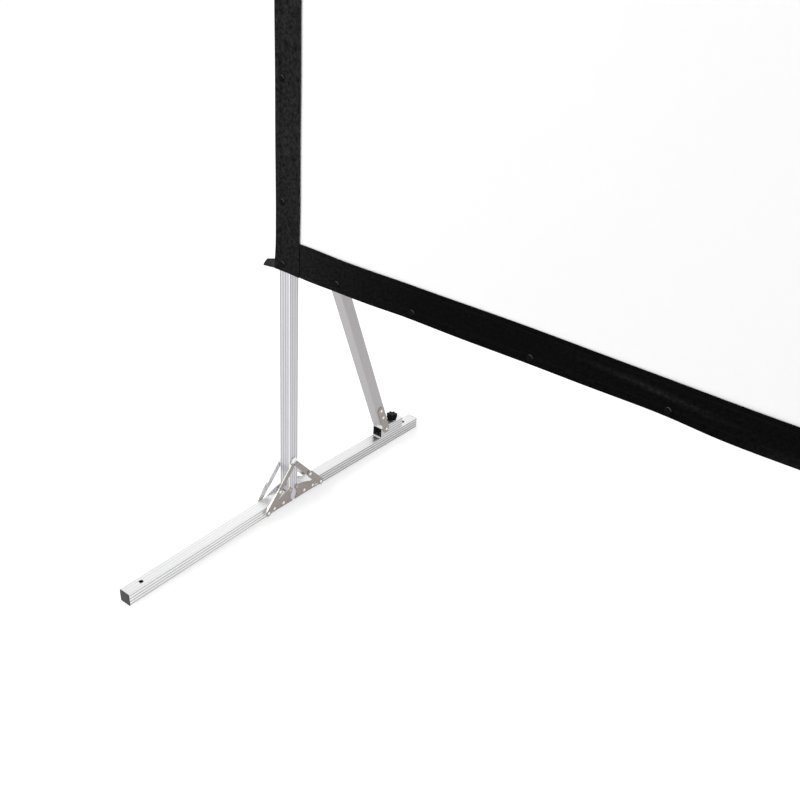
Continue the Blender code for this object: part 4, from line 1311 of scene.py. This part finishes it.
# %% [markdown]
# ### Pull tabs
#
# A short tab of doubled cloth sticks out at each lower corner. It is what one pulls to free the
# cloth from its studs. Its lower edge carries on the line of the hem and droops a little, its
# upper edge slopes to a blunt tip, and its face leans back, so that it catches more light.

# %% Pull tabs
TAB_ROOT = 0.022
TAB_HEIGHT = 0.023
TAB_DROP = 0.004
TAB_SHOULDER = 0.029
TAB_SLOPE = 0.008
TAB_TIP, TAB_TAPER = 0.0035, 2.2
TAB_LEAN, TAB_BEND = 0.30, 0.012
TAB_BEHIND, TAB_ABOVE = 0.0003, 0.0002
TAB_STEP, TAB_ROWS = 0.0035, 8
TAB_SEAM = 0.003


def pull_tab(leg):
    """A tab on a grid of its own: out from the strip one way, from its low to its high edge the other."""
    side = leg_side[leg]
    length = tab_end - border_outer

    def point(out, share):
        beyond = max(0.0, out)
        low = border_bottom + TAB_ABOVE - TAB_DROP * beyond / length
        high = border_bottom + TAB_HEIGHT - TAB_SLOPE * min(beyond, TAB_SHOULDER) / TAB_SHOULDER
        if beyond > TAB_SHOULDER:
            tapered = ((beyond - TAB_SHOULDER) / (length - TAB_SHOULDER)) ** TAB_TAPER
            high -= (high - low - TAB_TIP) * tapered
        z = low + (high - low) * share
        back = TAB_LEAN * (z - border_bottom) * min(1.0, beyond / TAB_BEND)
        return Vector((side * (border_outer + out), -level_plane - TAB_BEHIND + back, z))

    tab = cloth_piece(f"{leg}_pull_tab", spread(-TAB_ROOT, length, TAB_STEP),
                      [i / TAB_ROWS for i in range(TAB_ROWS + 1)], point, tab_painted_light_finish,
                      edges=lambda share: (TAB_HEIGHT * share + HEM - TAB_SEAM, 1.0))
    tab.modifiers["thickness"].thickness = 2 * cloth
    return tab


tabs = {leg: pull_tab(leg) for leg in LEGS}
print("tabs", f"{(tab_end - border_outer) * 1000:.0f} mm beyond the strip")

# %% [markdown]
# ## Press stud caps
#
# Each stud ends in a black cap on the front of the border. It has a rolled rim and a slightly dished
# face, and that rim is what shows as a small bright crescent from above. The caps of one strip are one
# piece, set on the cloth where it meets the studs.

# %% Press stud caps
CAP_RADIUS = 0.0070
CAP_STEPS = 28
CAP_PROFILE = ((0, -0.0006), (0.92, -0.0006), (1.0, 0.0002), (1.02, 0.0009), (0.97, 0.0016),
               (0.88, 0.0020), (0.78, 0.0021), (0.60, 0.0020), (0, 0.0018))


def press_studs(name, places, plane):
    """The caps of one strip. The outline's radii are shares of the cap's own."""
    shape = bmesh.new()
    profile = [(share * CAP_RADIUS, height) for share, height in CAP_PROFILE]
    for x, z in places:
        front = plane + lift(x, z) + DOUBLE
        turned(shape, profile, Vector((x, -front, z)), Vector((0, -1, 0)), CAP_STEPS)
    as_piece(name, shape, snap_plastic, "frame", crease=70)
    return len(places)


rail_z = {"bottom": side_snaps[0], "top": side_snaps[-1]}
made = sum(press_studs(f"{end}_border_studs", [(x, rail_z[end]) for x in level_snaps], level_plane)
           for end in ("bottom", "top"))
made += sum(press_studs(f"{leg}_border_studs", [(leg_x[leg], z) for z in side_snaps], side_plane)
            for leg in LEGS)
print(made, "press stud caps")

# %% [markdown]
# ## Camera
#
# The camera stands in front of the screen and to its right, above head height, and looks down
# at the left leg. Its place is given from the foot of that leg. Azimuth and elevation point it and a
# small roll tilts the horizon, as in the reference picture. A lens of 44 mm gives the picture's
# perspective.

# %% Camera
CAMERA_FROM_LEG = Vector((1.47404, -1.5376, 1.54127))
AZIMUTH, ELEVATION, ROLL = (math.radians(a) for a in (36.390, 29.849, 3.729))
LENS = 44.43

forward = Vector((-math.sin(AZIMUTH) * math.cos(ELEVATION), math.cos(AZIMUTH) * math.cos(ELEVATION),
                  -math.sin(ELEVATION)))
level_right = Vector((math.cos(AZIMUTH), math.sin(AZIMUTH), 0))
level_up = level_right.cross(forward)
right = math.cos(ROLL) * level_right + math.sin(ROLL) * level_up
up = -math.sin(ROLL) * level_right + math.cos(ROLL) * level_up

camera = bpy.data.objects.new("camera", bpy.data.cameras.new("camera"))
bpy.context.scene.collection.objects.link(camera)
camera.matrix_world = Matrix.Translation(Vector((leg_x["left"], 0, 0)) + CAMERA_FROM_LEG) @ \
    Matrix((right, up, -forward)).transposed().to_4x4()
camera.data.lens = LENS
camera.data.clip_start, camera.data.clip_end = 0.05, 300
bpy.context.scene.camera = camera
print("camera at", [round(value, 3) for value in camera.location])

# %% [markdown]
# ## Studio
#
# The picture is a plain product shot: a white room, soft light from above and a pale floor. The world
# is white wherever the camera or a mirror-like surface sees it, and gives only part of that as
# light. Soft boxes do the rest. The floor adds a little glow of its own for the camera and for
# reflections, so that it reads as white paper and still takes the object's shadow.

# %% World and floor
WORLD_LIGHT = 0.73
FLOOR_GLOW = 0.45
PAPER = 0.76
FLOOR_SIZE, FLOOR_DROP = 120, 0.0005


def seen_directly(tree):
    """1 for what the camera, a reflection or a see-through surface sees, else 0."""
    path = tree.nodes.new("ShaderNodeLightPath")
    either = math_node(tree, "MAXIMUM", path.outputs["Is Camera Ray"], path.outputs["Is Glossy Ray"])
    return math_node(tree, "MAXIMUM", either, path.outputs["Is Transmission Ray"])


scene = bpy.context.scene
scene.view_settings.view_transform = "Standard"
world = bpy.data.worlds.new("white_room")
scene.world = world
world.use_nodes = True
room = world.node_tree
background = room.nodes["Background"]
background.inputs["Color"].default_value = (1, 1, 1, 1)
strength = math_node(room, "MULTIPLY_ADD", seen_directly(room), 1 - WORLD_LIGHT, WORLD_LIGHT)
room.links.new(strength, background.inputs["Strength"])

paper = bmesh.new()
bmesh.ops.create_grid(paper, x_segments=1, y_segments=1, size=FLOOR_SIZE)
floor_mesh = bpy.data.meshes.new("floor")
paper.to_mesh(floor_mesh)
paper.free()
floor = bpy.data.objects.new("floor", floor_mesh)
scene.collection.objects.link(floor)
floor.location.z = -FLOOR_DROP
floor_finish, tree, shader = new_finish("white_paper")
shader.inputs["Base Color"].default_value = (PAPER, PAPER, PAPER, 1)
shader.inputs["Roughness"].default_value = 0.95
shader.inputs["Specular IOR Level"].default_value = 0
shader.inputs["Emission Color"].default_value = (1, 1, 1, 1)
tree.links.new(math_node(tree, "MULTIPLY", seen_directly(tree), FLOOR_GLOW),
               shader.inputs["Emission Strength"])
floor_mesh.materials.append(floor_finish)
floor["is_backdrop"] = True
print(f"world gives {WORLD_LIGHT:.0%} of its brightness as light, the floor glows by {FLOOR_GLOW:.0%}")

# %% [markdown]
# ### Soft boxes
#
# A soft box is an area lamp: the larger it is, the softer the shadow's edge. The strong one stands in
# front and to the left, so the near faces of the tubes are bright. The weak one behind keeps the
# other faces from going dull, and its reflection draws the flutes.

# %% Soft boxes
BOX_HEIGHT = 4


def soft_box(name, place, aim, width, power):
    """An area lamp at a place, turned to face what it aims at."""
    lamp = bpy.data.lights.new(name, "AREA")
    lamp.shape = "RECTANGLE"
    lamp.size, lamp.size_y = width, BOX_HEIGHT
    lamp.energy = power
    box = bpy.data.objects.new(name, lamp)
    scene.collection.objects.link(box)
    box.location = place
    box.rotation_euler = (Vector(aim) - Vector(place)).to_track_quat("-Z", "Y").to_euler()
    return box


soft_box("rear_box", place=(-4.6, 4.6, 3.8), aim=(-1.4, 0, 0.2), width=7, power=46)
soft_box("front_box", place=(-3.6, -4.2, 4.2), aim=(-0.6, 0, 0.8), width=5, power=165)
print("studio ready")

# %% [markdown]
# ## Check the size
#
# The dressed object must still fill the space that the frame was measured to. The growth of its box
# over the frame's box is printed for each side.

# %% Compare the boxes
low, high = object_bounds()
grown = [round((b - a) * 1000, 1) for a, b in zip((*cad_low, *cad_high), (*low, *high))]
print("box grew by", grown, "mm")
